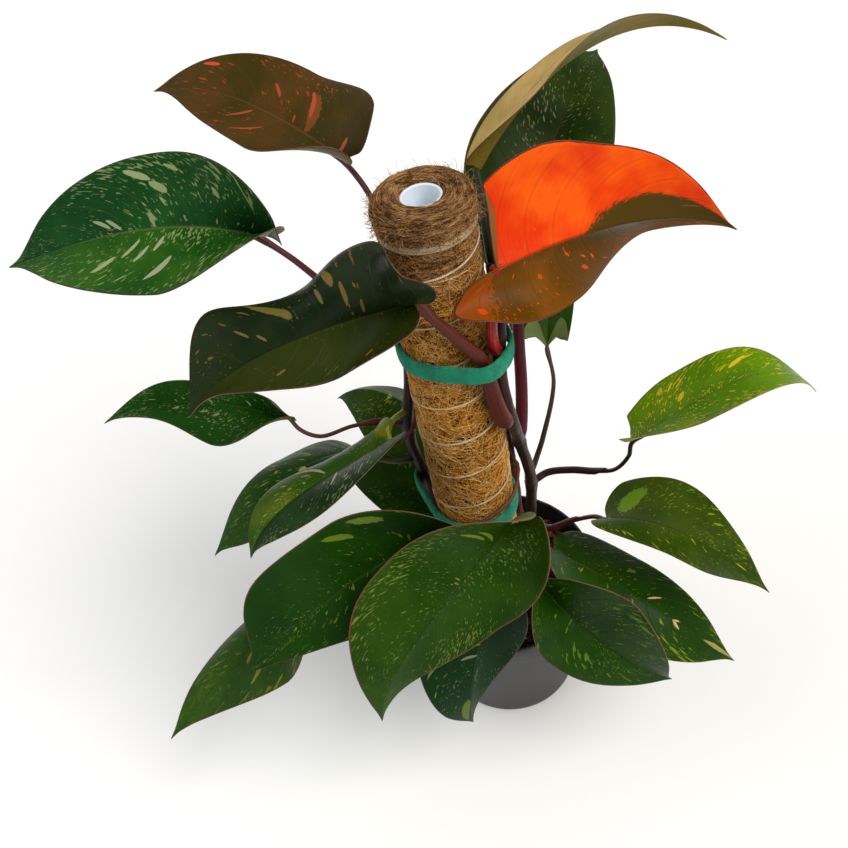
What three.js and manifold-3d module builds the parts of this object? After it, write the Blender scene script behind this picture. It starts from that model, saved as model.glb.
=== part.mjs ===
// Potted climbing philodendron on a coir pole: pot, soil, pole, ties, stems and twenty leaves.
// Millimetres, +Z up, origin at the centre of the pot's underside.
// +X is the viewer's right, +Y points away from the viewer.

import * as THREE from 'three';
import { mergeVertices } from 'three/addons/utils/BufferGeometryUtils.js';
import Module from 'manifold-3d';

const wasm = await Module();
wasm.setup();

// Pot
const POT_HEIGHT = 140;
const POT_BASE_R = 58;
const POT_RIM_R = 80;
const POT_WALL = 1.5;
const POT_FLOOR = 2;
const RIM_BAND = 18;
const RIM_STEP = 3;
const DRAIN_HOLES = 8;
const DRAIN_R = 5;
const DRAIN_RING_R = 42;

// Soil
const SOIL_TOP = 125;
const SOIL_ROUGH = 1.4;

// Pole: plastic pipe with a coconut fibre sleeve
const POLE_X = -8;
const POLE_Y = 0;
const PIPE_R = 12.5;
const PIPE_WALL = 2;
const PIPE_TOP = 508;
const COIR_R = 27.5;
const COIR_BOTTOM = 60;
const COIR_TOP = 509;
const THREAD_R = 0.6;
const THREAD_PITCH = 34.5;
const THREAD_START = 135;
const THREAD_TURNS = 10;

// Ties
const TIE_HEIGHT = 14;
const TIE_THICK = 2;
const TIE_UPPER_Z = 393;
const TIE_LOWER_Z = 230;

// Clearance between touching pieces
const GAP = 0.3;

// Leaves
const BLADE_THICK = 0.8;
const BLADE_ROWS = 10;
const BLADE_COLS = 3;
const STALK_SIDES = 6;
const PUSH_REACH = 0.1;
const SWELL_STEP = 0.25;

const rad = THREE.MathUtils.degToRad;
const v3 = ([x, y, z]) => new THREE.Vector3(x, y, z);

const material = (color, roughness, metalness = 0) =>
  new THREE.MeshStandardMaterial({ color, roughness, metalness });

const MATERIALS = {
  pot: material(0x1b1b1c, 0.55),
  soil: material(0x3a2a1f, 0.95),
  pipe: material(0xd9e4ea, 0.4),
  coir: material(0x9a6d33, 0.95),
  thread: material(0xd8cdb4, 0.6),
  tie: material(0x1f8f68, 0.9),
  stem: material(0x6a4a40, 0.5),
  stemRed: material(0x5a1520, 0.45),
  root: material(0x6b4326, 0.8),
  bract: material(0x5c1a26, 0.5),
  leafGreen: material(0x2c5a12, 0.35),
  leafDark: material(0x2a3312, 0.35),
  leafOlive: material(0x4f4a16, 0.38),
  leafOrange: material(0xe8451c, 0.38),
  leafLime: material(0x6c8f1c, 0.38),
};

// Solids

function toSolid(geometry) {
  const bare = geometry.clone();
  bare.deleteAttribute('normal');
  bare.deleteAttribute('uv');
  const merged = mergeVertices(bare, 1e-4);
  return new wasm.Manifold(new wasm.Mesh({
    numProp: 3,
    vertProperties: new Float32Array(merged.attributes.position.array),
    triVerts: new Uint32Array(merged.index.array),
  }));
}

function toGeometry(solid) {
  const { vertProperties, triVerts, numProp } = solid.getMesh();
  const positions = new Float32Array((vertProperties.length / numProp) * 3);
  for (let i = 0; i < positions.length / 3; i++) {
    for (let k = 0; k < 3; k++) positions[3 * i + k] = vertProperties[numProp * i + k];
  }
  const geometry = new THREE.BufferGeometry();
  geometry.setAttribute('position', new THREE.BufferAttribute(positions, 3));
  geometry.setIndex(Array.from(triVerts));
  geometry.computeVertexNormals();
  return geometry;
}

const cut = (solid, ...tools) => tools.reduce((s, tool) => s.subtract(tool), solid);

function mesh(name, geometry, mat) {
  const piece = new THREE.Mesh(geometry, mat);
  piece.name = name;
  return piece;
}

// A round bar along a smooth path; radiusAt(t) gives its radius for t from 0 to 1.
function bar(points, radiusAt, { sides = 8, steps = 16, grow = 0 } = {}) {
  const curve = new THREE.CatmullRomCurve3(points.map(v3), false, 'centripetal');
  const frames = curve.computeFrenetFrames(steps, false);
  const positions = [];
  for (let i = 0; i <= steps; i++) {
    const centre = curve.getPointAt(i / steps);
    const r = radiusAt(i / steps) + grow;
    for (let k = 0; k < sides; k++) {
      const a = (2 * Math.PI * k) / sides;
      const p = centre.clone()
        .addScaledVector(frames.normals[i], r * Math.cos(a))
        .addScaledVector(frames.binormals[i], r * Math.sin(a));
      positions.push(p.x, p.y, p.z);
    }
  }
  const index = [];
  for (let i = 0; i < steps; i++) {
    for (let k = 0; k < sides; k++) {
      const a = i * sides + k;
      const b = i * sides + ((k + 1) % sides);
      index.push(a, b, b + sides, a, b + sides, a + sides);
    }
  }
  for (let k = 1; k < sides - 1; k++) {
    index.push(0, k + 1, k);
    const last = steps * sides;
    index.push(last, last + k, last + k + 1);
  }
  const geometry = new THREE.BufferGeometry();
  geometry.setAttribute('position', new THREE.BufferAttribute(new Float32Array(positions), 3));
  geometry.setIndex(index);
  return toSolid(geometry);
}

// Pot: tapered wall, stepped rim band, flat floor with a ring of drain holes

function makePot() {
  const bandZ = POT_HEIGHT - RIM_BAND;
  const wallR = POT_RIM_R - RIM_STEP;
  const profile = [
    [0, 0], [POT_BASE_R - 2, 0], [POT_BASE_R, 2], [wallR, bandZ], [POT_RIM_R, bandZ + 2],
    [POT_RIM_R, POT_HEIGHT - 1.5], [POT_RIM_R - 1, POT_HEIGHT], [POT_RIM_R - 2, POT_HEIGHT],
    [POT_RIM_R - 2.6, POT_HEIGHT - 1.5], [POT_RIM_R - 2.6, bandZ + 3], [wallR - POT_WALL, bandZ],
    [POT_BASE_R - POT_WALL, POT_FLOOR], [0, POT_FLOOR],
  ].map(([x, y]) => new THREE.Vector2(x, y));
  const body = new THREE.LatheGeometry(profile, 32).rotateX(Math.PI / 2);
  const holes = Array.from({ length: DRAIN_HOLES }, (_, i) => {
    const a = (2 * Math.PI * i) / DRAIN_HOLES;
    const drill = new THREE.CylinderGeometry(DRAIN_R, DRAIN_R, 10, 8).rotateX(Math.PI / 2);
    drill.translate(DRAIN_RING_R * Math.cos(a), DRAIN_RING_R * Math.sin(a), 0);
    return toSolid(drill);
  });
  return toGeometry(cut(toSolid(body), ...holes));
}

// Soil: fills the pot, stepped round hole for the pole, uneven top

function makeSoil(stemHoles) {
  const innerAt = (z) => POT_BASE_R - POT_WALL - GAP
    + ((POT_RIM_R - RIM_STEP - POT_BASE_R) * (z - 2)) / (POT_HEIGHT - RIM_BAND - 2);
  const low = POT_FLOOR + GAP;
  const profile = [
    [0, low], [innerAt(low) - 0.2, low], [innerAt(SOIL_TOP - 9) - 0.2, SOIL_TOP - 9],
    [innerAt(SOIL_TOP - 9) - 2, SOIL_TOP - 3], [64, SOIL_TOP], [54, SOIL_TOP - 1],
    [44, SOIL_TOP + 1], [34, SOIL_TOP + 1], [24, SOIL_TOP + 2], [0, SOIL_TOP + 2],
  ].map(([x, y]) => new THREE.Vector2(x, y));
  const body = new THREE.LatheGeometry(profile, 24).rotateX(Math.PI / 2);
  const p = body.attributes.position;
  for (let i = 0; i < p.count; i++) {
    const [x, y, z] = [p.getX(i), p.getY(i), p.getZ(i)];
    const r = Math.hypot(x, y);
    if (z < SOIL_TOP - 8 || r < 1) continue;
    p.setZ(i, z + SOIL_ROUGH * (Math.sin(x * 0.31 + y * 0.17) * Math.cos(y * 0.27 - x * 0.11)));
  }
  const round = (r, z0, z1) => {
    const drill = new THREE.CylinderGeometry(r, r, z1 - z0, 24).rotateX(Math.PI / 2);
    return toSolid(drill.translate(POLE_X, POLE_Y, (z0 + z1) / 2));
  };
  const coirHole = round(COIR_R + 0.6, COIR_BOTTOM - GAP, SOIL_TOP + 20);
  const pipeHole = round(PIPE_R + 0.5, -5, COIR_BOTTOM + 5);
  return toGeometry(cut(toSolid(body), coirHole, pipeHole, ...stemHoles));
}

// Pole: open pipe that stands on the pot floor, coir sleeve, thread wound round it

function makePipe() {
  const low = POT_FLOOR + GAP;
  const profile = [
    [PIPE_R - PIPE_WALL, low], [PIPE_R, low], [PIPE_R, PIPE_TOP], [PIPE_R - PIPE_WALL, PIPE_TOP],
    [PIPE_R - PIPE_WALL, low],
  ].map(([x, y]) => new THREE.Vector2(x, y));
  return new THREE.LatheGeometry(profile, 24).rotateX(Math.PI / 2).translate(POLE_X, POLE_Y, 0);
}

function makeCoir() {
  const inner = PIPE_R + 0.5;
  const outline = [[inner, COIR_BOTTOM], [COIR_R, COIR_BOTTOM]];
  const bands = 5;
  for (let i = 1; i < bands; i++) {
    outline.push([COIR_R - (i % 2 ? 0.5 : 0), COIR_BOTTOM + ((COIR_TOP - 18 - COIR_BOTTOM) * i) / bands]);
  }
  outline.push(
    [COIR_R, COIR_TOP - 18], [COIR_R + 1, COIR_TOP - 12], [COIR_R + 0.5, COIR_TOP - 6],
    [COIR_R - 3, COIR_TOP - 1.5], [COIR_R - 8, COIR_TOP], [inner + 1, COIR_TOP - 0.5],
    [inner, COIR_TOP - 2], [inner, COIR_BOTTOM],
  );
  const profile = outline.map(([x, y]) => new THREE.Vector2(x, y));
  return new THREE.LatheGeometry(profile, 24).rotateX(Math.PI / 2).translate(POLE_X, POLE_Y, 0);
}

class Helix extends THREE.Curve {
  constructor(radius, pitch, turns, start) {
    super();
    Object.assign(this, { radius, pitch, turns, start });
  }

  getPoint(t, target = new THREE.Vector3()) {
    const a = 2 * Math.PI * this.turns * t;
    return target.set(
      POLE_X + this.radius * Math.cos(a),
      POLE_Y + this.radius * Math.sin(a),
      this.start + this.pitch * this.turns * t,
    );
  }
}

function makeThread() {
  const section = new THREE.Shape().absarc(0, 0, THREAD_R, 0, 2 * Math.PI);
  const path = new Helix(COIR_R + 1.6, THREAD_PITCH, THREAD_TURNS, THREAD_START);
  return new THREE.ExtrudeGeometry(section, {
    extrudePath: path, steps: 14 * THREAD_TURNS, curveSegments: 2,
  });
}

// Tie: flat felt band drawn tight round a set of circles [x, y, r]

function makeTie(circles, z) {
  const hull = (grow) => Array.from({ length: 32 }, (_, i) => {
    const a = (2 * Math.PI * i) / 32;
    const [dx, dy] = [Math.cos(a), Math.sin(a)];
    const reach = ([x, y, r]) => x * dx + y * dy + r;
    const [x, y, r] = circles.reduce((best, c) => (reach(c) > reach(best) ? c : best));
    return new THREE.Vector2(x + (r + grow) * dx, y + (r + grow) * dy);
  });
  const shape = new THREE.Shape(hull(TIE_THICK));
  shape.holes.push(new THREE.Path(hull(0)));
  return new THREE.ExtrudeGeometry(shape, { depth: TIE_HEIGHT, bevelEnabled: false }).translate(0, 0, z);
}

// Stems: path and radius, with a swelling at each node (fractions of the length)

const STEMS = {
  right: {
    path: [[36, 28, 20], [36, 28, 125], [38, 27, 170], [40, 24, 213], [38, 19, 240], [34.5, 14, 264],
      [31.5, 7, 286], [28.5, -7, 309], [25.2, -17, 332], [22.2, -22.5, 356], [20.7, -24.2, 376],
      [21.2, -23.2, 392], [23.4, -17, 408], [27.2, -3, 424], [28.5, 16, 438]],
    radius: 4.6, taper: 0.88, nodes: [0.25, 0.43, 0.585, 0.9], steps: 38,
  },
  rightFront: {
    path: [[25, 19, 20], [25, 19, 125], [25.5, 18, 200], [25, 18.5, 262], [24, 20, 290]],
    radius: 4.8, taper: 0.9, nodes: [0.6], steps: 14,
  },
  left: {
    path: [[-33, 33, 20], [-34, 33, 125], [-37.5, 32, 200], [-41, 33, 235], [-46, 33, 275],
      [-45.5, 31, 300], [-38.5, 30.5, 335], [-33, 33, 370], [-29, 36, 400], [-27, 38, 430]],
    radius: 4.6, taper: 0.82, nodes: [0.38, 0.5, 0.66, 0.86], steps: 30,
  },
  front: {
    path: [[2, -50, 20], [2, -50, 125], [3, -52, 155], [2, -54, 190]],
    radius: 4.4, taper: 0.75, nodes: [0.78, 0.9], steps: 14,
  },
};

function stemSolid({ path, radius, taper, nodes, steps }, grow = 0) {
  const radiusAt = (t) => radius * (1 + (taper - 1) * t)
    + nodes.reduce((sum, n) => sum + 0.9 * Math.exp(-(((t - n) / 0.022) ** 2)), 0);
  return bar(path, radiusAt, { sides: 8, steps, grow });
}

// Aerial roots of the right front stem: across the front of the pole, round it and into the soil

const ROOTS = {
  root_lower: [[25, 16, 250], [27, 1, 256], [16, -25, 256], [-5, -34, 250], [-25, -32, 240],
    [-40, -17, 226], [-44, 6, 204], [-42, 16, 165], [-40, 20, 112]],
  root_upper: [[25, 17, 256], [28, 0, 262], [16, -27, 261], [-5, -36, 255], [-27, -33.5, 245],
    [-43, -18, 232], [-48, 6, 210], [-47, 18, 168], [-46, 24, 112]],
};
const ROOT_R = 1.2;
const rootSolid = (path, grow = 0) => bar(path, () => ROOT_R, { sides: 6, steps: 26, grow });

// Pointed bract that hangs from the left stem
const BRACT = [[-39, 30.5, 332], [-33.5, 22, 326], [-41, 19.5, 306], [-55, 19.5, 291]];

// Leaves. Each blade runs from joint to tip; width is across both halves.
// arch, side: bow of the midrib upwards and sideways, in chord lengths; peak moves it to the tip.
// roll, twist: turn about the midrib at the base and how much more at the tip, degrees.
// fold: slope of the left half at rib and margin, then of the right half, degrees.
// pinch: extra upward fold of the left and right lobe at the base, degrees.
// lobe: length of the basal lobes, one value or left and right.
// swell: share by which the left and right half are wider a quarter, half and three quarters along.
// push: [half, place, along, outward, up], where a margin is drawn aside, in millimetres.
// path: way points of the leaf stalk from its stem; r: its radius at the stem and the blade.

const LEAVES = {
  leaf_back_left_top: {
    stem: 'left', mat: 'leafOlive', path: [[-27, 38, 428], [-31, 52, 455], [-36, 66, 473], [-42, 77, 483]],
    r: [3, 1.9], joint: [-48, 90, 488], tip: [-164, 174, 520], width: 85, arch: 0.08, side: 0.05,
    peak: 0.4, roll: -10, twist: 25, fold: [-20, 15, 30, -5], asym: 0.1, lobe: 0.7, pinch: [50, 50],
    swell: [[-0.3, 0, 0], [0, 0, 0]],
  },
  leaf_left_upper: {
    stem: 'left', mat: 'leafGreen', path: [[-33.5, 33, 372], [-54, 37, 402], [-76, 42, 430], [-94, 45, 456]],
    r: [3, 2], joint: [-110, 48, 474], tip: [-267, 65, 479], width: 99, arch: 0.11, side: -0.03,
    peak: -0.3, roll: 35, twist: 15, fold: [30, 30, 15, 25], asym: -0.11, lobe: 0.7, pinch: [45, 75],
    swell: [[-0.2, 0, 0], [0, 0, 0.1]],
  },
  leaf_front_left_dark: {
    stem: 'right', mat: 'leafDark', path: [[21, -23, 336], [17.3, -27.3, 347], [14.8, -29.2, 361],
      [12.6, -31.2, 379], [11, -32.2, 394], [8, -33.6, 409], [2.6, -35.6, 419.5], [-4, -36.8, 430.5],
      [-10, -37, 441], [-16, -37, 450]],
    r: [6.5, 3.2], joint: [-25, -40, 466], tip: [-165, -52, 430], width: 93, arch: 0.04, side: 0.08,
    peak: 0.9, roll: 95, twist: -90, fold: [15, 45, 25, -35], asym: 0.2, lobe: [0.3, 0.9],
    pinch: [70, 30], swell: [[-0.1, -0.12, 0], [0, 0, 0]],
    push: [[1, 0.3, -10, 0, -10], [1, 0.5, -25, -10, 5], [1, 0.65, -25, -15, -10], [1, 0.82, -15, 25, 5],
      [-1, 0.46, 10, -5, 0], [-1, 0.82, -5, 5, 5]],
  },
  leaf_young_orange: {
    stem: 'right', mat: 'leafOrange', path: [[22, -21.5, 398], [18.5, -26.5, 410], [17.3, -28.6, 432], [21, -26, 450]],
    r: [4.2, 3], joint: [27, -21, 461], tip: [177, -4, 439], width: 95, arch: 0.08, side: -0.05,
    peak: 0.3, roll: -35, twist: -90, fold: [-10, 25, -60, 30], asym: -0.1, lobe: [-0.4, 1.4],
    pinch: [20, 0],
    push: [[-1, 0.3, 5, 0, 5], [-1, 0.46, 15, 5, 10], [-1, 0.64, 5, 0, -10], [1, 0.14, 0, -5, 10],
      [1, 0.3, -15, -10, 10], [1, 0.46, -15, 0, 10], [1, 0.64, -5, 10, -5], [1, 0.82, -20, 10, 5]],
  },
  leaf_top_folded: {
    stem: 'right', mat: 'leafLime', path: [[28.5, 15, 437], [30, 35, 455], [33, 52, 467]],
    r: [3, 2], joint: [35, 62, 477], tip: [193, 71, 522], width: 68, arch: 0.2, side: -0.06, peak: 0.2,
    roll: -10, twist: 30, fold: [-5, -15, 55, 5], asym: 0.01, lobe: [0, 0], pinch: [0, 35],
    swell: [[-0.6, 0, 0.35], [-0.5, -0.1, -0.3]],
  },
  leaf_back_right: {
    stem: 'right', mat: 'leafGreen', path: [[33, 9, 280], [37.5, 17, 300], [41.5, 29, 322], [44, 38, 350], [48, 48, 384]],
    r: [4.6, 1.8], joint: [51, 55, 418], tip: [145, 183, 477], width: 91, arch: 0.14, side: 0.04, peak: 0,
    roll: -15, twist: -30, fold: [0, 25, 35, -35], asym: 0.05, lobe: 1.1, pinch: [45, 35],
    swell: [[0, 0.25, 0.1], [0, -0.05, 0]],
  },
  leaf_left_lower: {
    stem: 'left', mat: 'leafGreen', path: [[-45.5, 31, 300], [-62, 33, 306], [-84, 26, 315], [-107, 13, 325],
      [-119, 13, 336]],
    r: [2.6, 1.5], joint: [-125, 17, 346], tip: [-255, 45, 352], width: 62, arch: 0.06, side: 0.08,
    peak: 0.5, roll: 40, twist: -25, fold: [25, 25, 25, 20], asym: -0.16, lobe: 0.7, pinch: [55, 50],
    swell: [[0, 0, -0.3], [0, -0.5, -0.1]],
  },
  leaf_inner_left_upper: {
    stem: 'left', mat: 'leafGreen', path: [[-40, 33, 220], [-36, 46, 232], [-29, 59, 241]],
    r: [2.4, 1.6], joint: [-22, 69, 246], tip: [-100, 120, 256], width: 78, arch: 0.25, side: 0.01,
    peak: 0.2, roll: -15, twist: 10, fold: [-35, -30, -25, -25], asym: -0.16, lobe: 1, pinch: [30, 40],
  },
  leaf_left_middle_back: {
    stem: 'left', mat: 'leafGreen', path: [[-44, 33, 258], [-62, 29, 265], [-80, 37, 267]],
    r: [2.4, 1.6], joint: [-94, 50, 265], tip: [-208, -9, 247], width: 78, arch: 0.24, side: -0.06,
    peak: -0.1, roll: -10, twist: 15, fold: [-10, 25, 0, -30], asym: -0.18, lobe: 0.7, pinch: [25, 15],
    swell: [[0, 0.2, 0], [0, 0, 0]],
  },
  leaf_left_middle_front: {
    stem: 'left', mat: 'leafLime', path: [[-43, 31, 314], [-54, 20, 319], [-59, 8, 322]],
    r: [2.6, 1.8], joint: [-61, -4, 322], tip: [-171, -47, 283], width: 81, arch: 0.13, side: 0.01,
    peak: 0.5, roll: -40, twist: 60, fold: [20, -10, 20, -60], asym: 0, lobe: 0.8, pinch: [0, 30],
  },
  leaf_inner_left_lower: {
    stem: 'left', mat: 'leafGreen', path: [[-36, 33, 168], [-35, 40, 178]],
    r: [2.4, 1.6], joint: [-31, 50, 190], tip: [-112, 88, 206], width: 75, arch: 0.1, side: 0, peak: 0,
    roll: 15, twist: 0, fold: [10, 0, 10, 0], asym: 0, lobe: 0.9, pinch: [25, 25],
  },
  leaf_low_left: {
    stem: 'front', mat: 'leafGreen', path: [[2, -53, 176], [-10, -54, 193], [-27, -47, 226]],
    r: [2.8, 1.9], joint: [-39, -38, 254], tip: [-197, -88, 202], width: 95, arch: 0.13, side: -0.03,
    peak: -0.1, roll: 50, twist: 0, fold: [0, 5, 10, 35], asym: 0.08, lobe: 0.6, pinch: [60, 70],
    swell: [[0, 0, -0.1], [0.1, 0, 0.1]],
    push: [[1, 0.7, 5, 10, 0]],
  },
  leaf_low_centre: {
    stem: 'front', mat: 'leafGreen', path: [[2, -54, 188], [3, -58, 218], [6, -61, 250]],
    r: [3, 2], joint: [9, -60, 274], tip: [-108, -132, 176], width: 95, arch: 0.14, side: -0.01,
    peak: 0.5, roll: 35, twist: 30, fold: [-30, 5, 5, 20], asym: -0.01, lobe: 0.8, pinch: [60, 75],
    swell: [[0, 0, 0], [-0.15, 0, 0]],
    push: [[1, 0.64, 5, 15, 0]],
  },
  leaf_low_left_far: {
    stem: 'front', mat: 'leafGreen', path: [[3, -51, 152], [-30, -54, 166], [-75, -48, 185], [-105, -37, 198]],
    r: [2.8, 1.8], joint: [-127, -28, 205], tip: [-279, -86, 133], width: 98, arch: 0.02, side: 0.04,
    peak: 0.4, roll: -30, twist: 15, fold: [-10, -15, 30, -30], asym: -0.16, lobe: 0.5, pinch: [40, 30],
    swell: [[-0.2, 0, -0.2], [0, 0.05, 0.1]],
  },
  leaf_low_front: {
    stem: 'front', mat: 'leafDark', path: [[3, -53, 168], [-2, -65, 184], [-9, -74, 200]],
    r: [2.6, 1.8], joint: [-14, -76, 212], tip: [-46, -106, 93], width: 79, arch: 0.12, side: -0.03,
    peak: 0.2, roll: 45, twist: 35, fold: [-20, 30, -15, -5], asym: 0.18, lobe: 0.7, pinch: [30, 30],
    swell: [[0, 0, -0.3], [0, 0, 0]],
  },
  leaf_low_right_front: {
    stem: 'front', mat: 'leafGreen', path: [[3, -52, 160], [13, -66, 182], [20, -78, 205]],
    r: [2.6, 1.8], joint: [25, -81, 219], tip: [108, -123, 126], width: 86, arch: 0.03, side: 0.1,
    peak: 0, roll: -50, twist: -25, fold: [20, 30, 25, 0], asym: -0.18, lobe: 0.5, pinch: [35, 55],
  },
  leaf_low_right: {
    stem: 'front', mat: 'leafGreen', path: [[3, -51, 148], [18, -48, 168], [33, -41, 186]],
    r: [2.6, 1.8], joint: [44, -33, 196], tip: [160, -116, 119], width: 81, arch: 0.15, side: 0.08,
    peak: -0.1, roll: 25, twist: -35, fold: [10, -10, -25, 5], asym: 0.05, lobe: 0.5, pinch: [10, 40],
  },
  leaf_right_lower: {
    stem: 'right', mat: 'leafGreen', path: [[38, 27, 160], [47, 0, 179], [63, -14, 201], [77, -28, 219]],
    r: [3, 1.8], joint: [83, -41, 232], tip: [176, -118, 211], width: 82, arch: 0.1, side: -0.06,
    peak: -0.2, roll: 0, twist: -15, fold: [-30, -5, 15, -15], asym: -0.13, lobe: 0.5, pinch: [0, 30],
    swell: [[0.2, 0.15, 0], [-0.2, -0.4, -0.1]],
  },
  leaf_right_upper: {
    stem: 'right', mat: 'leafLime', path: [[40, 24, 210], [54, 28, 214], [71, 20, 221], [87, 7, 229],
      [99, -7, 243], [107, -15, 264]],
    r: [3, 1.7], joint: [107, -22, 290], tip: [239, -23, 299], width: 77, arch: 0.26, side: 0.02,
    peak: 0.5, roll: 20, twist: -10, fold: [0, 30, -10, 20], asym: -0.15, lobe: [0, 0], pinch: [0, 35],
    swell: [[-0.4, -0.15, 0], [0, -0.05, -0.1]],
  },
  leaf_behind_right: {
    stem: 'right', mat: 'leafGreen', path: [[40, 24, 220], [47, 31, 230], [55, 35, 250], [68, 44, 298]],
    r: [2.4, 1.5], joint: [67, 55, 323], tip: [116, 204, 329], width: 78, arch: 0.12, side: 0, peak: 0,
    roll: 0, twist: 0, fold: [12, 0, 12, 0], asym: 0, lobe: [0, 0], pinch: [25, 25],
    swell: [[-0.4, -0.1, -0.1], [-0.4, -0.5, -0.4]],
  },
};

// Half outline of a blade: [distance along the midrib, distance across], both as fractions.
// Negative distances along are the basal lobe; the narrow end is the drip tip.
const OUTLINE = [
  [0, 0], [-0.045, 0.12], [-0.1, 0.32], [-0.1, 0.56], [-0.035, 0.8], [0.09, 0.95], [0.26, 1],
  [0.44, 0.92], [0.61, 0.72], [0.76, 0.46], [0.87, 0.21], [0.94, 0.065], [1, 0],
];

function outlineAt(s) {
  const n = OUTLINE.length - 1;
  const i = Math.min(Math.floor(s * n), n - 1);
  const t = s * n - i;
  const at = (k, c) => {
    if (k < 0) return 2 * OUTLINE[0][c] - OUTLINE[1][c];
    if (k > n) return 2 * OUTLINE[n][c] - OUTLINE[n - 1][c];
    return OUTLINE[k][c];
  };
  return [0, 1].map((c) => {
    const [a, b, d, e] = [at(i - 1, c), at(i, c), at(i + 1, c), at(i + 2, c)];
    return 0.5 * (2 * b + (d - a) * t + (2 * a - 5 * b + 4 * d - e) * t * t
      + (3 * b - a - 3 * d + e) * t * t * t);
  });
}

const clamp = THREE.MathUtils.clamp;

// Share by which a half of a blade is wider than the common outline at the place s
function swellAt(leaf, side, s) {
  const shares = leaf.swell ? leaf.swell[side < 0 ? 0 : 1] : [0, 0, 0];
  return shares.reduce((sum, share, k) => {
    const off = clamp((s - SWELL_STEP * (k + 1)) / SWELL_STEP, -1, 1);
    return sum + share * Math.cos((off * Math.PI) / 2) ** 2;
  }, 0);
}

// Surface of a blade as a function of s (0 joint, 1 tip, along the margin), t (0 rib, 1 margin)
// and side (-1 left, 1 right).
function bladeSurface(leaf) {
  const [joint, tip] = [v3(leaf.joint), v3(leaf.tip)];
  const chord = tip.clone().sub(joint);
  const size = chord.length();
  const ahead = chord.clone().normalize();
  const across = new THREE.Vector3().crossVectors(ahead, new THREE.Vector3(0, 0, 1)).normalize();
  const above = new THREE.Vector3().crossVectors(across, ahead);
  const control = (along, bow) => joint.clone()
    .addScaledVector(chord, along)
    .addScaledVector(above, size * leaf.arch * 1.33 * bow)
    .addScaledVector(across, size * leaf.side * 1.33);
  const rib = new THREE.CubicBezierCurve3(
    joint, control(0.33, 1 - leaf.peak), control(0.7 + 0.1 * leaf.peak, 1 + leaf.peak), tip,
  );
  const length = rib.getLength();

  const frame = (x) => {
    const u = clamp(x, 0, 1);
    const ahead1 = rib.getTangentAt(u);
    const side = new THREE.Vector3().crossVectors(ahead1, above).normalize();
    const up = new THREE.Vector3().crossVectors(side, ahead1);
    const turn = rad(leaf.roll + leaf.twist * u);
    const origin = rib.getPointAt(u);
    const right = side.clone().multiplyScalar(Math.cos(turn)).addScaledVector(up, Math.sin(turn));
    const normal = up.clone().multiplyScalar(Math.cos(turn)).addScaledVector(side, -Math.sin(turn));
    const behind = Math.min(x, 0);
    origin.addScaledVector(ahead1, behind * length).addScaledVector(normal, -behind * behind * length);
    return { origin, right, normal, ahead: ahead1 };
  };

  const point = (s, t, side) => {
    const start = Math.pow(clamp((s - 0.3) / 0.7, 0, 1), 1.15);
    const [ox, oy] = outlineAt(s);
    const lobe = Array.isArray(leaf.lobe) ? leaf.lobe[side < 0 ? 0 : 1] : leaf.lobe;
    const edge = ox < 0 ? ox * lobe : ox;
    const x = start + (edge - start) * t;
    const d = oy * t * (1 + swellAt(leaf, side, s));
    const [near, far] = side < 0 ? [leaf.fold[0], leaf.fold[1]] : [leaf.fold[2], leaf.fold[3]];
    const pinch = leaf.pinch[side < 0 ? 0 : 1]
      * Math.pow(clamp(1 - Math.max(x, -0.2) / 0.35, 0, 1.5), 1.5);
    const a0 = rad(near + pinch);
    const bend = rad(far - near) || 1e-4;
    const half = (leaf.width / 2) * (1 + leaf.asym * side);
    const out = ((Math.sin(a0 + bend * d) - Math.sin(a0)) / bend) * half;
    const lift = (-(Math.cos(a0 + bend * d) - Math.cos(a0)) / bend) * half;
    const { origin, right, normal, ahead: onward } = frame(x);
    origin.addScaledVector(right, side * out).addScaledVector(normal, lift);
    for (const [half0, place, along, outward, up] of leaf.push ?? []) {
      if (half0 !== side) continue;
      const share = Math.exp(-(((s - place) / PUSH_REACH) ** 2)) * t ** 1.5;
      origin.addScaledVector(onward, share * along)
        .addScaledVector(right, share * side * outward).addScaledVector(normal, share * up);
    }
    return origin;
  };
  return { point, frame, length, rib };
}

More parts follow.
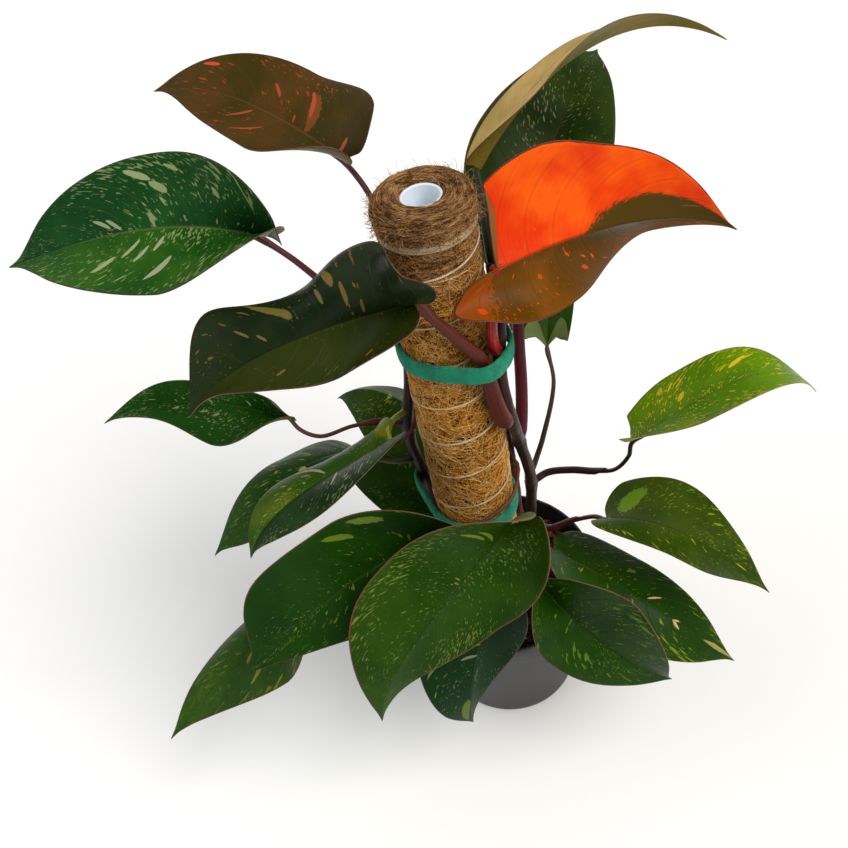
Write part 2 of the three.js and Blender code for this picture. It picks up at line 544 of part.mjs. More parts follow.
// Closed thin shell on a blade surface
function bladeSolid(leaf) {
  const { point } = bladeSurface(leaf);
  const columns = 2 * BLADE_COLS + 1;
  const grid = [];
  for (let i = 0; i <= BLADE_ROWS; i++) {
    for (let j = -BLADE_COLS; j <= BLADE_COLS; j++) {
      grid.push(point(i / BLADE_ROWS, Math.abs(j) / BLADE_COLS, j < 0 ? -1 : 1));
    }
  }
  const ids = new Map();
  const unique = [];
  const idOf = grid.map((p) => {
    const key = [p.x, p.y, p.z].map((c) => c.toFixed(3)).join();
    if (!ids.has(key)) {
      ids.set(key, unique.length);
      unique.push(p);
    }
    return ids.get(key);
  });
  const faces = [];
  const addFace = (a, b, c) => {
    if (a !== b && b !== c && a !== c) faces.push([a, b, c]);
  };
  for (let i = 0; i < BLADE_ROWS; i++) {
    for (let j = 0; j < columns - 1; j++) {
      const [a, b] = [idOf[i * columns + j], idOf[i * columns + j + 1]];
      const [c, d] = [idOf[(i + 1) * columns + j + 1], idOf[(i + 1) * columns + j]];
      if (j < BLADE_COLS) {
        addFace(a, b, c);
        addFace(a, c, d);
      } else {
        addFace(a, b, d);
        addFace(b, c, d);
      }
    }
  }
  const normals = unique.map(() => new THREE.Vector3());
  for (const [a, b, c] of faces) {
    const n = new THREE.Vector3().crossVectors(
      unique[b].clone().sub(unique[a]), unique[c].clone().sub(unique[a]),
    );
    [a, b, c].forEach((k) => normals[k].add(n));
  }
  const count = unique.length;
  const positions = [];
  for (const side of [0.5, -0.5]) {
    unique.forEach((p, k) => {
      const q = p.clone().addScaledVector(normals[k].clone().normalize(), side * BLADE_THICK);
      positions.push(q.x, q.y, q.z);
    });
  }
  const index = [];
  const edges = new Set(faces.flatMap(([a, b, c]) => [`${a},${b}`, `${b},${c}`, `${c},${a}`]));
  for (const [a, b, c] of faces) {
    index.push(a, b, c, a + count, c + count, b + count);
    for (const [p, q] of [[a, b], [b, c], [c, a]]) {
      if (!edges.has(`${q},${p}`)) index.push(q, p, p + count, q, p + count, q + count);
    }
  }
  const geometry = new THREE.BufferGeometry();
  geometry.setAttribute('position', new THREE.BufferAttribute(new Float32Array(positions), 3));
  geometry.setIndex(index);
  return toSolid(geometry);
}

// Leaf: stalk and blade in one body, the stalk's end shaped to sit on its stem
function makeLeaf(leaf) {
  const { frame } = bladeSurface(leaf);
  const under = (x, drop) => {
    const { origin, normal } = frame(x);
    return origin.addScaledVector(normal, -drop).toArray();
  };
  const [r0, r1] = leaf.r;
  const radiusAt = (t) => (t > 0.97 ? 0.7 * r1 : r0 + (r1 - r0) * Math.min(1, t * 1.15));
  const stalk = bar(
    [...leaf.path, under(0, 0.5 * r1), under(0.06, 0.4 * r1)],
    radiusAt, { sides: STALK_SIDES, steps: 4 + 3 * Math.min(leaf.path.length, 6) },
  );
  return toGeometry(cut(stalk.add(bladeSolid(leaf)), stemSolid(STEMS[leaf.stem], GAP)));
}

// Assembly

const plant = new THREE.Group();

const stemCuts = [
  ...Object.values(STEMS).map((stem) => stemSolid(stem, GAP + 0.2)),
  ...Object.values(ROOTS).map((path) => rootSolid(path, GAP)),
];
plant.add(mesh('pot', makePot(), MATERIALS.pot));
plant.add(mesh('soil', makeSoil(stemCuts), MATERIALS.soil));
plant.add(mesh('pole_pipe', makePipe(), MATERIALS.pipe));
plant.add(mesh('coir_sleeve', makeCoir(), MATERIALS.coir));
plant.add(mesh('binding_thread', makeThread(), MATERIALS.thread));

const poleRing = [POLE_X, POLE_Y, COIR_R + 2.6];
plant.add(mesh('tie_upper', makeTie(
  [poleRing, [25, -9.5, 5.2], [22, -20.8, 6.6], [9.8, -33, 7.4]], TIE_UPPER_Z,
), MATERIALS.tie));
plant.add(mesh('tie_lower', makeTie([poleRing, [-41.5, 32.5, 6.4]], TIE_LOWER_Z), MATERIALS.tie));

plant.add(mesh('stem_right', toGeometry(stemSolid(STEMS.right)), MATERIALS.stem));
plant.add(mesh(
  'stem_right_front',
  toGeometry(cut(stemSolid(STEMS.rightFront), stemSolid(STEMS.right, GAP))),
  MATERIALS.stemRed,
));
plant.add(mesh('stem_left', toGeometry(stemSolid(STEMS.left)), MATERIALS.stem));
plant.add(mesh('stem_front', toGeometry(stemSolid(STEMS.front)), MATERIALS.stem));

for (const [name, path] of Object.entries(ROOTS)) {
  const clear = cut(rootSolid(path), stemSolid(STEMS.rightFront, GAP));
  plant.add(mesh(name, toGeometry(clear), MATERIALS.root));
}
const bract = bar(BRACT, (t) => 0.7 + 2.6 * Math.sin(Math.PI * Math.min(1, 0.15 + t)) ** 0.8, { steps: 10 });
plant.add(mesh('bract_left', toGeometry(cut(bract, stemSolid(STEMS.left, GAP))), MATERIALS.bract));

for (const [name, leaf] of Object.entries(LEAVES)) {
  plant.add(mesh(name, makeLeaf(leaf), MATERIALS[leaf.mat]));
}

export default plant;
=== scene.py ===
"""Potted climbing philodendron tied to a coir pole.

Metres, +Z up, origin at the centre of the pot's underside. +X is the viewer's right and
+Y points away from the viewer. Lengths in the tables are millimetres.
"""

import logging
import math
from dataclasses import dataclass
from enum import Enum
from typing import Callable, Sequence

import bmesh
import bpy
import numpy as np
from mathutils import Matrix, Vector, noise


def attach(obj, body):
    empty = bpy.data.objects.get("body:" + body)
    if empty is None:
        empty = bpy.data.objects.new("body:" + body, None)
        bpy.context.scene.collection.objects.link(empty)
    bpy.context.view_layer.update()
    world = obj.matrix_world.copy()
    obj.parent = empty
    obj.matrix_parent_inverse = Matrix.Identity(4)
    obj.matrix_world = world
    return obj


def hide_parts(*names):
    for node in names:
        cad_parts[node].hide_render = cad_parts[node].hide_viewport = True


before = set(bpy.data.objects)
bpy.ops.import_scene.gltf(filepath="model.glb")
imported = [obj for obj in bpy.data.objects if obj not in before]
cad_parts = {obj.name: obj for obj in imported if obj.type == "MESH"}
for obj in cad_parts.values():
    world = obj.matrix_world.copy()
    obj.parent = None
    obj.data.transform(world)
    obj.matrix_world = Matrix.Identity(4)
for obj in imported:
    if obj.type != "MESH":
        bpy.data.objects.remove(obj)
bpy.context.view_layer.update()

log = logging.getLogger("philodendron")

MM = 0.001
BODY = "root"
Point = tuple[float, float, float]
Colour = tuple[float, float, float, float]

POLE = Vector((-8.0, 0.0, 0.0))
PIPE_R = 12.5
PIPE_WALL = 2.0
PIPE_TOP = 508.0
COIR_R = 27.5
COIR_BOTTOM = 60.0
COIR_TOP = 509.0
THREAD_START = 135.0
THREAD_PITCH = 34.5
THREAD_TURNS = 10
SOIL_TOP = 125.0
VEIN_BEND = 0.09
PUSH_REACH = 0.1
SWELL_STEP = 0.25


def tint(code: str) -> Colour:
    """Turn a screen colour into the linear colour that shaders use.

    Args:
        code: six hexadecimal digits, red, green and blue.

    Returns:
        Linear red, green, blue and an alpha of 1.
    """
    parts = [int(code[i:i + 2], 16) / 255 for i in (0, 2, 4)]
    linear = [c / 12.92 if c <= 0.04045 else ((c + 0.055) / 1.055) ** 2.4 for c in parts]
    return (linear[0], linear[1], linear[2], 1.0)


def smoothstep(value: float, low: float, high: float) -> float:
    """Return 0 below low, 1 above high and a smooth rise between."""
    t = min(max((value - low) / (high - low), 0.0), 1.0)
    return t * t * (3 - 2 * t)


# Shaders


class Graph:
    """Adds and joins the nodes of one material or one node group."""

    def __init__(self, tree: bpy.types.NodeTree) -> None:
        """Keep the tree that the nodes go into."""
        self.tree = tree

    def feed(self, socket: bpy.types.NodeSocket, value: object) -> None:
        """Link a socket, or set its value.

        Args:
            socket: the input to fill.
            value: an output socket, a number or a colour.
        """
        if isinstance(value, bpy.types.NodeSocket):
            self.tree.links.new(value, socket)
        else:
            socket.default_value = value

    def node(self, kind: str, inputs: dict | None = None, **settings: object) -> bpy.types.Node:
        """Add one node.

        Args:
            kind: the node's type.
            inputs: value or output socket for each input, by name or number.
            settings: the node's own options.

        Returns:
            The new node.
        """
        made = self.tree.nodes.new(kind)
        for key, value in settings.items():
            setattr(made, key, value)
        for key, value in (inputs or {}).items():
            self.feed(made.inputs[key], value)
        return made

    def math(self, operation: str, *values: object) -> bpy.types.NodeSocket:
        """Join numbers or sockets with one arithmetic operation."""
        made = self.node("ShaderNodeMath", dict(enumerate(values)), operation=operation)
        return made.outputs[0]

    def times(self, first: object, second: object) -> bpy.types.NodeSocket:
        """Multiply two numbers or sockets."""
        return self.math("MULTIPLY", first, second)

    def line(self, value: object, slope: object, start: object) -> bpy.types.NodeSocket:
        """Return value times slope plus start."""
        return self.math("MULTIPLY_ADD", value, slope, start)

    def step(self, value: object, low: object, high: object) -> bpy.types.NodeSocket:
        """Return a mask that rises smoothly from 0 at low to 1 at high."""
        made = self.node(
            "ShaderNodeMapRange", {0: value, 1: low, 2: high}, interpolation_type="SMOOTHSTEP"
        )
        return made.outputs[0]

    def mix(
        self, factor: object, first: object, second: object, blend: str = "MIX"
    ) -> bpy.types.NodeSocket:
        """Blend two colours.

        Args:
            factor: share of the second colour.
            first: the colour below.
            second: the colour above.
            blend: how they combine.

        Returns:
            The blended colour's socket.
        """
        made = self.node("ShaderNodeMix", data_type="RGBA", blend_type=blend)
        for index, value in ((0, factor), (6, first), (7, second)):
            self.feed(made.inputs[index], value)
        return made.outputs[2]

    def vector(self, x: object, y: object, z: object) -> bpy.types.NodeSocket:
        """Join three numbers into a vector."""
        return self.node("ShaderNodeCombineXYZ", {0: x, 1: y, 2: z}).outputs[0]

    def noise(
        self, vector: object, scale: object = 1.0, detail: float = 2.0, rough: float = 0.5
    ) -> bpy.types.NodeSocket:
        """Add a noise texture.

        Args:
            vector: the coordinates that it reads.
            scale: its scale.
            detail: how many finer layers it has.
            rough: strength of the finer layers.

        Returns:
            The socket of its value.
        """
        made = self.node(
            "ShaderNodeTexNoise",
            {"Vector": vector, "Scale": scale, "Detail": detail, "Roughness": rough},
        )
        return made.outputs["Fac"]

    def place(self) -> bpy.types.NodeSocket:
        """Return the coordinates of the piece itself."""
        return self.node("ShaderNodeTexCoord").outputs["Object"]

    def effect(self, effect: "Effect", **values: object) -> bpy.types.Node:
        """Place a shared effect, with its inputs by name."""
        return self.node("ShaderNodeGroup", values, node_tree=SHELF.get(effect))


class Effect(Enum):
    """Shared effects, each a node group that is built once."""

    BLADE = "blade_field"
    VEINS = "leaf_veins"
    FLECKS = "variegation_flecks"
    PATCH = "variegation_patch"
    MOTTLE = "mottling"
    SKIN = "skin_relief"
    DUST = "dust_on_top"


class EffectShelf:
    """Builds the shared node groups and hands them out."""

    def __init__(self) -> None:
        """Start with nothing built."""
        self.built: dict[Effect, bpy.types.NodeTree] = {}

    def get(self, effect: Effect) -> bpy.types.NodeTree:
        """Return an effect's node group, made on first use.

        Args:
            effect: which effect.

        Returns:
            The node group.
        """
        if effect not in self.built:
            self.built[effect] = getattr(self, f"make_{effect.value}")()
        return self.built[effect]

    def open(
        self, effect: Effect, inputs: dict[str, float], outputs: Sequence[str]
    ) -> tuple[Graph, bpy.types.Node, bpy.types.Node]:
        """Start a node group.

        Args:
            effect: which effect it is.
            inputs: each input and its usual value.
            outputs: names of the outputs.

        Returns:
            The graph and its input and output nodes.
        """
        tree = bpy.data.node_groups.new(effect.value, "ShaderNodeTree")
        for label, value in inputs.items():
            socket = tree.interface.new_socket(label, in_out="INPUT", socket_type="NodeSocketFloat")
            socket.default_value = value
        for label in outputs:
            tree.interface.new_socket(label, in_out="OUTPUT", socket_type="NodeSocketFloat")
        graph = Graph(tree)
        return graph, graph.node("NodeGroupInput"), graph.node("NodeGroupOutput")

    def make_blade_field(self) -> bpy.types.NodeTree:
        """Build the group that reads where a point lies on its blade.

        Returns:
            A group with Along, Signed, Across, Right and Vein.
        """
        graph, _, end = self.open(Effect.BLADE, {}, ("Along", "Signed", "Across", "Right", "Vein"))
        uv = graph.node("ShaderNodeUVMap", uv_map="Blade").outputs[0]
        split = graph.node("ShaderNodeSeparateXYZ", {0: uv})
        along = split.outputs[0]
        signed = graph.line(split.outputs[1], 2.0, -1.0)
        across = graph.math("ABSOLUTE", signed)
        right = graph.math("GREATER_THAN", signed, 0.0)
        wobble = graph.noise(graph.place(), 38.0, 2.0)
        bend = graph.times(graph.times(across, across), VEIN_BEND)
        vein = graph.math("SUBTRACT", along, bend)
        vein = graph.line(graph.math("SUBTRACT", wobble, 0.5), 0.012, vein)
        for label, value in (
            ("Along", along), ("Signed", signed), ("Across", across), ("Right", right),
            ("Vein", vein),
        ):
            graph.feed(end.inputs[label], value)
        return graph.tree

    def make_leaf_veins(self) -> bpy.types.NodeTree:
        """Build the group of side veins, midrib and margin.

        Returns:
            A group with Side, Fine, Rib and Edge masks and a Relief height.
        """
        graph, start, end = self.open(
            Effect.VEINS, {"Count": 13.0, "Edge Width": 0.02}, ("Side", "Fine", "Rib", "Edge", "Relief")
        )
        blade = graph.effect(Effect.BLADE)
        across, vein = blade.outputs["Across"], blade.outputs["Vein"]
        turn = graph.math("FRACT", graph.times(vein, start.outputs["Count"]))
        near = graph.math("ABSOLUTE", graph.math("SUBTRACT", turn, 0.5))
        inside = graph.step(across, 1.0, 0.8)
        side = graph.times(graph.step(near, 0.06, 0.0), inside)
        many = graph.times(graph.times(vein, start.outputs["Count"]), 5.0)
        fine = graph.math("ABSOLUTE", graph.math("SUBTRACT", graph.math("FRACT", many), 0.5))
        fine = graph.times(graph.step(fine, 0.3, 0.0), inside)
        rib = graph.step(across, 0.03, 0.008)
        rib = graph.times(rib, graph.step(blade.outputs["Along"], 0.3, 0.36))
        ragged = graph.noise(graph.place(), 160.0, 2.0)
        limit = graph.math("SUBTRACT", 1.0, start.outputs["Edge Width"])
        edge = graph.step(
            graph.line(graph.math("SUBTRACT", ragged, 0.5), 0.02, across),
            limit, graph.math("ADD", limit, 0.012),
        )
        relief = graph.line(side, -0.4, graph.times(fine, -0.05))
        relief = graph.line(rib, -1.0, relief)
        for label, value in (
            ("Side", side), ("Fine", fine), ("Rib", rib), ("Edge", edge), ("Relief", relief)
        ):
            graph.feed(end.inputs[label], value)
        return graph.tree

    def make_variegation_flecks(self) -> bpy.types.NodeTree:
        """Build the group of short dashes that follow the side veins.

        Returns:
            A group with a Mask.
        """
        graph, start, end = self.open(
            Effect.FLECKS, {"Seed": 0.0, "Amount": 0.5, "Length": 4.0, "Breadth": 70.0}, ("Mask",)
        )
        blade = graph.effect(Effect.BLADE)
        seed = graph.line(blade.outputs["Right"], 7.3, start.outputs["Seed"])
        wide = graph.times(blade.outputs["Vein"], start.outputs["Breadth"])
        long = graph.times(blade.outputs["Across"], start.outputs["Length"])
        dash = graph.noise(graph.vector(wide, long, seed), 1.0, 1.5, 0.45)
        patchy = graph.noise(
            graph.vector(
                graph.times(blade.outputs["Along"], 5.0),
                graph.times(blade.outputs["Signed"], 1.6), seed,
            ), 1.0, 1.0,
        )
        level = graph.line(graph.math("SUBTRACT", patchy, 0.5), 0.45, dash)
        limit = graph.line(start.outputs["Amount"], -0.22, 0.78)
        mask = graph.step(level, limit, graph.math("ADD", limit, 0.035))
        graph.feed(end.inputs["Mask"], mask)
        return graph.tree

    def make_variegation_patch(self) -> bpy.types.NodeTree:
        """Build the group of one pale or coloured patch between the veins.

        Returns:
            A group with a Mask.
        """
        graph, start, end = self.open(
            Effect.PATCH,
            {"Along": 0.5, "Across": 0.0, "Half Width": 0.02, "Half Length": 0.2, "Ragged": 0.6,
             "Slant": 0.0},
            ("Mask",),
        )
        blade = graph.effect(Effect.BLADE)
        shift = graph.math("SUBTRACT", blade.outputs["Signed"], start.outputs["Across"])
        far = graph.math("DIVIDE", shift, start.outputs["Half Length"])
        lean = graph.times(shift, start.outputs["Slant"])
        wide = graph.math("SUBTRACT", blade.outputs["Vein"], start.outputs["Along"])
        wide = graph.math("DIVIDE", graph.math("SUBTRACT", wide, lean), start.outputs["Half Width"])
        reach = graph.math("SQRT", graph.math("ADD", graph.times(far, far), graph.times(wide, wide)))
        rough = graph.noise(
            graph.vector(
                graph.times(blade.outputs["Vein"], 170.0),
                graph.times(blade.outputs["Signed"], 15.0), start.outputs["Across"],
            ), 1.0, 4.0, 0.65,
        )
        reach = graph.line(graph.math("SUBTRACT", rough, 0.5), start.outputs["Ragged"], reach)
        graph.feed(end.inputs["Mask"], graph.step(reach, 1.04, 0.94))
        return graph.tree

    def make_mottling(self) -> bpy.types.NodeTree:
        """Build the group of soft blotches in the piece's own space.

        Returns:
            A group with Broad and Speckle masks.
        """
        graph, start, end = self.open(Effect.MOTTLE, {"Scale": 30.0, "Seed": 0.0}, ("Broad", "Speckle"))
        moved = graph.node(
            "ShaderNodeVectorMath",
            {0: graph.place(), 1: graph.vector(start.outputs["Seed"], 0.0, 0.0)}, operation="ADD",
        ).outputs[0]
        broad = graph.noise(moved, start.outputs["Scale"], 3.0, 0.55)
        speckle = graph.noise(moved, graph.times(start.outputs["Scale"], 9.0), 3.0, 0.7)
        graph.feed(end.inputs["Broad"], graph.step(broad, 0.36, 0.64))
        graph.feed(end.inputs["Speckle"], graph.step(speckle, 0.52, 0.66))
        return graph.tree

    def make_skin_relief(self) -> bpy.types.NodeTree:
        """Build the group of fine surface relief.

        Returns:
            A group with a Height.
        """
        graph, start, end = self.open(Effect.SKIN, {"Grain": 900.0, "Pits": 2600.0}, ("Height",))
        place = graph.place()
        soft = graph.noise(place, start.outputs["Grain"], 3.0, 0.6)
        pits = graph.node(
            "ShaderNodeTexVoronoi", {"Vector": place, "Scale": start.outputs["Pits"]}
        ).outputs["Distance"]
        graph.feed(end.inputs["Height"], graph.line(pits, 0.35, soft))
        return graph.tree

    def make_dust_on_top(self) -> bpy.types.NodeTree:
        """Build the group of dust that lies on faces that look up.

        Returns:
            A group with a Mask.
        """
        graph, start, end = self.open(Effect.DUST, {"Amount": 0.3, "Scale": 60.0}, ("Mask",))
        upward = graph.node(
            "ShaderNodeSeparateXYZ", {0: graph.node("ShaderNodeNewGeometry").outputs["Normal"]}
        ).outputs[2]
        cloud = graph.step(graph.noise(graph.place(), start.outputs["Scale"], 4.0, 0.65), 0.4, 0.7)
        lying = graph.times(graph.step(upward, 0.2, 1.0), cloud)
        graph.feed(end.inputs["Mask"], graph.times(lying, start.outputs["Amount"]))
        return graph.tree


SHELF = EffectShelf()


class Finish:
    """Base of every finish: starts a material and closes it with its surface."""

    name: str

    def begin(self, suffix: str = "") -> tuple[bpy.types.Material, Graph, bpy.types.Node]:
        """Start a material.

        Args:
            suffix: added to the finish's name.

        Returns:
            The material, its graph and its surface shader.
        """
        made = bpy.data.materials.new(self.name + suffix)
        made.use_nodes = True
        made.node_tree.nodes.clear()
        graph = Graph(made.node_tree)
        surface = graph.node("ShaderNodeBsdfPrincipled")
        graph.node("ShaderNodeOutputMaterial", {"Surface": surface.outputs[0]})
        return made, graph, surface

    def close(
        self, graph: Graph, surface: bpy.types.Node, colour: object, rough: object,
        height: object = None, depth: float = 0.0, strength: float = 1.0, shine: float = 0.5,
    ) -> None:
        """Feed the surface shader.

        Args:
            graph: the material's graph.
            surface: its surface shader.
            colour: its colour.
            rough: its roughness.
            height: the relief to follow, if any.
            depth: the relief's full depth in metres.
            strength: how strongly the relief shows.
            shine: the surface's specular level.
        """
        graph.feed(surface.inputs["Base Color"], colour)
        graph.feed(surface.inputs["Roughness"], rough)
        surface.inputs["Specular IOR Level"].default_value = shine
        if height is not None:
            bump = graph.node(
                "ShaderNodeBump", {"Height": height, "Distance": depth, "Strength": strength}
            )
            graph.feed(surface.inputs["Normal"], bump.outputs[0])


@dataclass(frozen=True)
class Patch:
    """One coloured patch on a blade.

    Attributes:
        colour: its colour.
        along: place from joint (0) to tip (1), measured on the margin.
        across: place from the left margin (-1) to the right (1).
        wide: half its width, in the same measure as along.
        long: half its length across the blade.
        ragged: how torn its edge is.
        slant: how far it leans to the tip on its way to the right.
        share: how strongly it covers.
    """

    colour: str
    along: float
    across: float
    wide: float = 0.012
    long: float = 0.12
    ragged: float = 0.7
    slant: float = 0.0
    share: float = 1.0


@dataclass(frozen=True)
class LeafFinish(Finish):
    """Colours of one blade, above, below and on its margin.

    Attributes:
        name: the finish's name.
        base: main colour above.
        tone: second colour above, in soft blotches.
        fleck: colour of the dashes.
        amount: how many dashes there are.
        pins: how many fine specks there are.
        right: main colour of the right half where it differs.
        right_tone: its second colour.
        patches: single patches.
        under: colour below.
        under_tone: second colour below.
        margin: colour of the thin margin.
        rib: colour of the midrib above.
        seed: shifts the pattern.
        gloss: roughness above.
        length: dashes along the side veins, fewer is longer.
        breadth: dashes along the margin, more is finer.
    """

    name: str
    base: str
    tone: str
    fleck: str
    amount: float = 0.5
    pins: float = 0.4
    right: str | None = None
    right_tone: str | None = None
    patches: tuple[Patch, ...] = ()
    under: str = "6f7f45"
    under_tone: str = "56682f"
    margin: str = "4d3322"
    rib: str = "47642c"
    seed: float = 0.0
    gloss: float = 0.36
    length: float = 4.5
    breadth: float = 75.0

    def above(self) -> bpy.types.Material:
        """Make the material of the upper face.

        Returns:
            The material.
        """
        made, graph, surface = self.begin("_above")
        veins = graph.effect(Effect.VEINS)
        blade = graph.effect(Effect.BLADE)
        mottle = graph.effect(Effect.MOTTLE, Scale=26.0, Seed=self.seed)
        colour = graph.mix(mottle.outputs["Broad"], tint(self.base), tint(self.tone))
        if self.right:
            other = graph.mix(
                mottle.outputs["Broad"], tint(self.right), tint(self.right_tone or self.right)
            )
            colour = graph.mix(blade.outputs["Right"], colour, other)
        shade = graph.times(veins.outputs["Fine"], 0.05)
        colour = graph.mix(shade, colour, (0.0, 0.0, 0.0, 1.0))
        light = graph.times(veins.outputs["Side"], 0.14)
        colour = graph.mix(light, colour, tint(self.rib))
        fleck = tint(self.fleck)
        for amount, length, breadth, seed, share in (
            (self.amount, self.length, self.breadth, self.seed, 0.85),
            (self.pins, self.length * 3.2, self.breadth * 2.3, self.seed + 3.7, 0.7),
        ):
            if amount:
                dashes = graph.effect(
                    Effect.FLECKS, Seed=seed, Amount=amount, Length=length,
                    Breadth=breadth,
                )
                strength = graph.times(dashes.outputs[0], share)
                colour = graph.mix(strength, colour, fleck)
        for patch in self.patches:
            spot = graph.effect(Effect.PATCH, **{
                "Along": patch.along - VEIN_BEND * patch.across ** 2, "Across": patch.across,
                "Half Width": patch.wide, "Half Length": patch.long, "Ragged": patch.ragged,
                "Slant": patch.slant,
            })
            strength = graph.times(spot.outputs[0], patch.share)
            colour = graph.mix(strength, colour, tint(patch.colour))
        colour = graph.mix(graph.times(veins.outputs["Rib"], 0.6), colour, tint(self.rib))
        colour = graph.mix(veins.outputs["Edge"], colour, tint(self.margin))
        rough = graph.line(mottle.outputs["Broad"], 0.1, self.gloss - 0.05)
        rough = graph.line(veins.outputs["Side"], 0.08, rough)
        skin = graph.effect(Effect.SKIN, Grain=1100.0, Pits=3200.0)
        height = graph.line(skin.outputs[0], 0.12, veins.outputs["Relief"])
        self.close(graph, surface, colour, rough, height, 0.0006, 0.55, 0.07)
        return made

    def below(self) -> bpy.types.Material:
        """Make the material of the lower face.

        Returns:
            The material.
        """
        made, graph, surface = self.begin("_below")
        veins = graph.effect(Effect.VEINS)
        mottle = graph.effect(Effect.MOTTLE, Scale=22.0, Seed=self.seed + 5.0)
        colour = graph.mix(mottle.outputs["Broad"], tint(self.under), tint(self.under_tone))
        net = graph.line(veins.outputs["Fine"], 0.12, 0.0)
        colour = graph.mix(net, colour, tint(self.margin))
        colour = graph.mix(graph.times(veins.outputs["Side"], 0.4), colour, tint(self.under))
        if self.amount:
            dashes = graph.effect(
                Effect.FLECKS, Seed=self.seed, Amount=self.amount, Length=self.length,
                Breadth=self.breadth,
            )
            strength = graph.times(dashes.outputs[0], 0.3)
            colour = graph.mix(strength, colour, tint(self.fleck))
        colour = graph.mix(veins.outputs["Edge"], colour, tint(self.margin))
        rough = graph.line(mottle.outputs["Speckle"], 0.08, 0.5)
        skin = graph.effect(Effect.SKIN, Grain=1300.0, Pits=2800.0)
        height = graph.line(skin.outputs[0], 0.2, graph.times(veins.outputs["Relief"], -1.0))
        self.close(graph, surface, colour, rough, height, 0.0006, 0.6, 0.18)
        return made

    def edge(self) -> bpy.types.Material:
        """Make the material of the cut between both faces.

        Returns:
            The material.
        """
        made, graph, surface = self.begin("_edge")
        mottle = graph.effect(Effect.MOTTLE, Scale=90.0, Seed=self.seed)
        colour = graph.mix(mottle.outputs["Broad"], tint(self.margin), tint("6a4636"))
        self.close(graph, surface, colour, graph.line(mottle.outputs["Speckle"], 0.15, 0.4))
        return made


@dataclass(frozen=True)
class StalkFinish(Finish):
    """Skin of a leaf stalk or stem, which changes along its length.

    Attributes:
        name: the finish's name.
        base: colour at the start.
        end: colour at the far end.
        streak: colour of the long streaks.
        sheath: share of the length that the sheath covers.
        sheath_colour: colour of the sheath.
        gloss: roughness.
        seed: shifts the pattern.
    """

    name: str
    base: str
    end: str
    streak: str
    sheath: float = 0.0
    sheath_colour: str = "4a1a1c"
    gloss: float = 0.38
    seed: float = 0.0

    def skin(self) -> bpy.types.Material:
        """Make the material.

        Returns:
            The material.
        """
        made, graph, surface = self.begin()
        uv = graph.node("ShaderNodeUVMap", uv_map="Bar").outputs[0]
        split = graph.node("ShaderNodeSeparateXYZ", {0: uv})
        along, around = split.outputs[0], split.outputs[1]
        mottle = graph.effect(Effect.MOTTLE, Scale=60.0, Seed=self.seed)
        colour = graph.mix(graph.step(along, 0.1, 0.95), tint(self.base), tint(self.end))
        ring = graph.math("COSINE", graph.times(around, 2 * math.pi))
        wind = graph.math("SINE", graph.times(around, 2 * math.pi))
        lines = graph.noise(
            graph.vector(
                graph.times(along, 5.0), graph.line(ring, 4.0, self.seed),
                graph.times(wind, 4.0),
            ), 1.0, 4.0, 0.6,
        )
        streaks = graph.step(lines, 0.5, 0.62)
        colour = graph.mix(graph.times(streaks, 0.55), colour, tint(self.streak))
        if self.sheath:
            cover = graph.step(along, self.sheath + 0.02, self.sheath - 0.03)
            hood = graph.mix(streaks, tint(self.sheath_colour), tint(self.base))
            colour = graph.mix(cover, colour, hood)
        spots = graph.times(mottle.outputs["Speckle"], 0.25)
        colour = graph.mix(spots, colour, tint("2a1812"))
        rough = graph.line(mottle.outputs["Broad"], 0.14, self.gloss - 0.05)
        skin = graph.effect(Effect.SKIN, Grain=700.0, Pits=1800.0)
        height = graph.line(lines, 1.2, skin.outputs[0])
        self.close(graph, surface, colour, rough, height, 0.0004, 0.6, 0.22)
        return made


@dataclass(frozen=True)
class CoirFinish(Finish):
    """Coconut fibre."""

    name: str
    light: str
    dark: str
    stretch: float = 6.0

    def fibre(self) -> bpy.types.Material:
        """Make the material of loose and wound fibres.

        Returns:
            The material.
        """
        made, graph, surface = self.begin()
        place = graph.place()
        mapped = graph.node(
            "ShaderNodeMapping", {"Vector": place, "Scale": (1.0, 1.0, self.stretch)}
        ).outputs[0]
        broad = graph.step(graph.noise(mapped, 120.0, 4.0, 0.7), 0.38, 0.66)
        fine = graph.step(graph.noise(mapped, 700.0, 3.0, 0.7), 0.4, 0.62)
        colour = graph.mix(broad, tint(self.light), tint(self.dark))
        colour = graph.mix(graph.times(fine, 0.45), colour, tint(self.dark), "MULTIPLY")
        height = graph.noise(mapped, 1500.0, 2.0)
        self.close(graph, surface, colour, graph.line(broad, 0.2, 0.55), height, 0.0003, 0.5, 0.12)
        return made


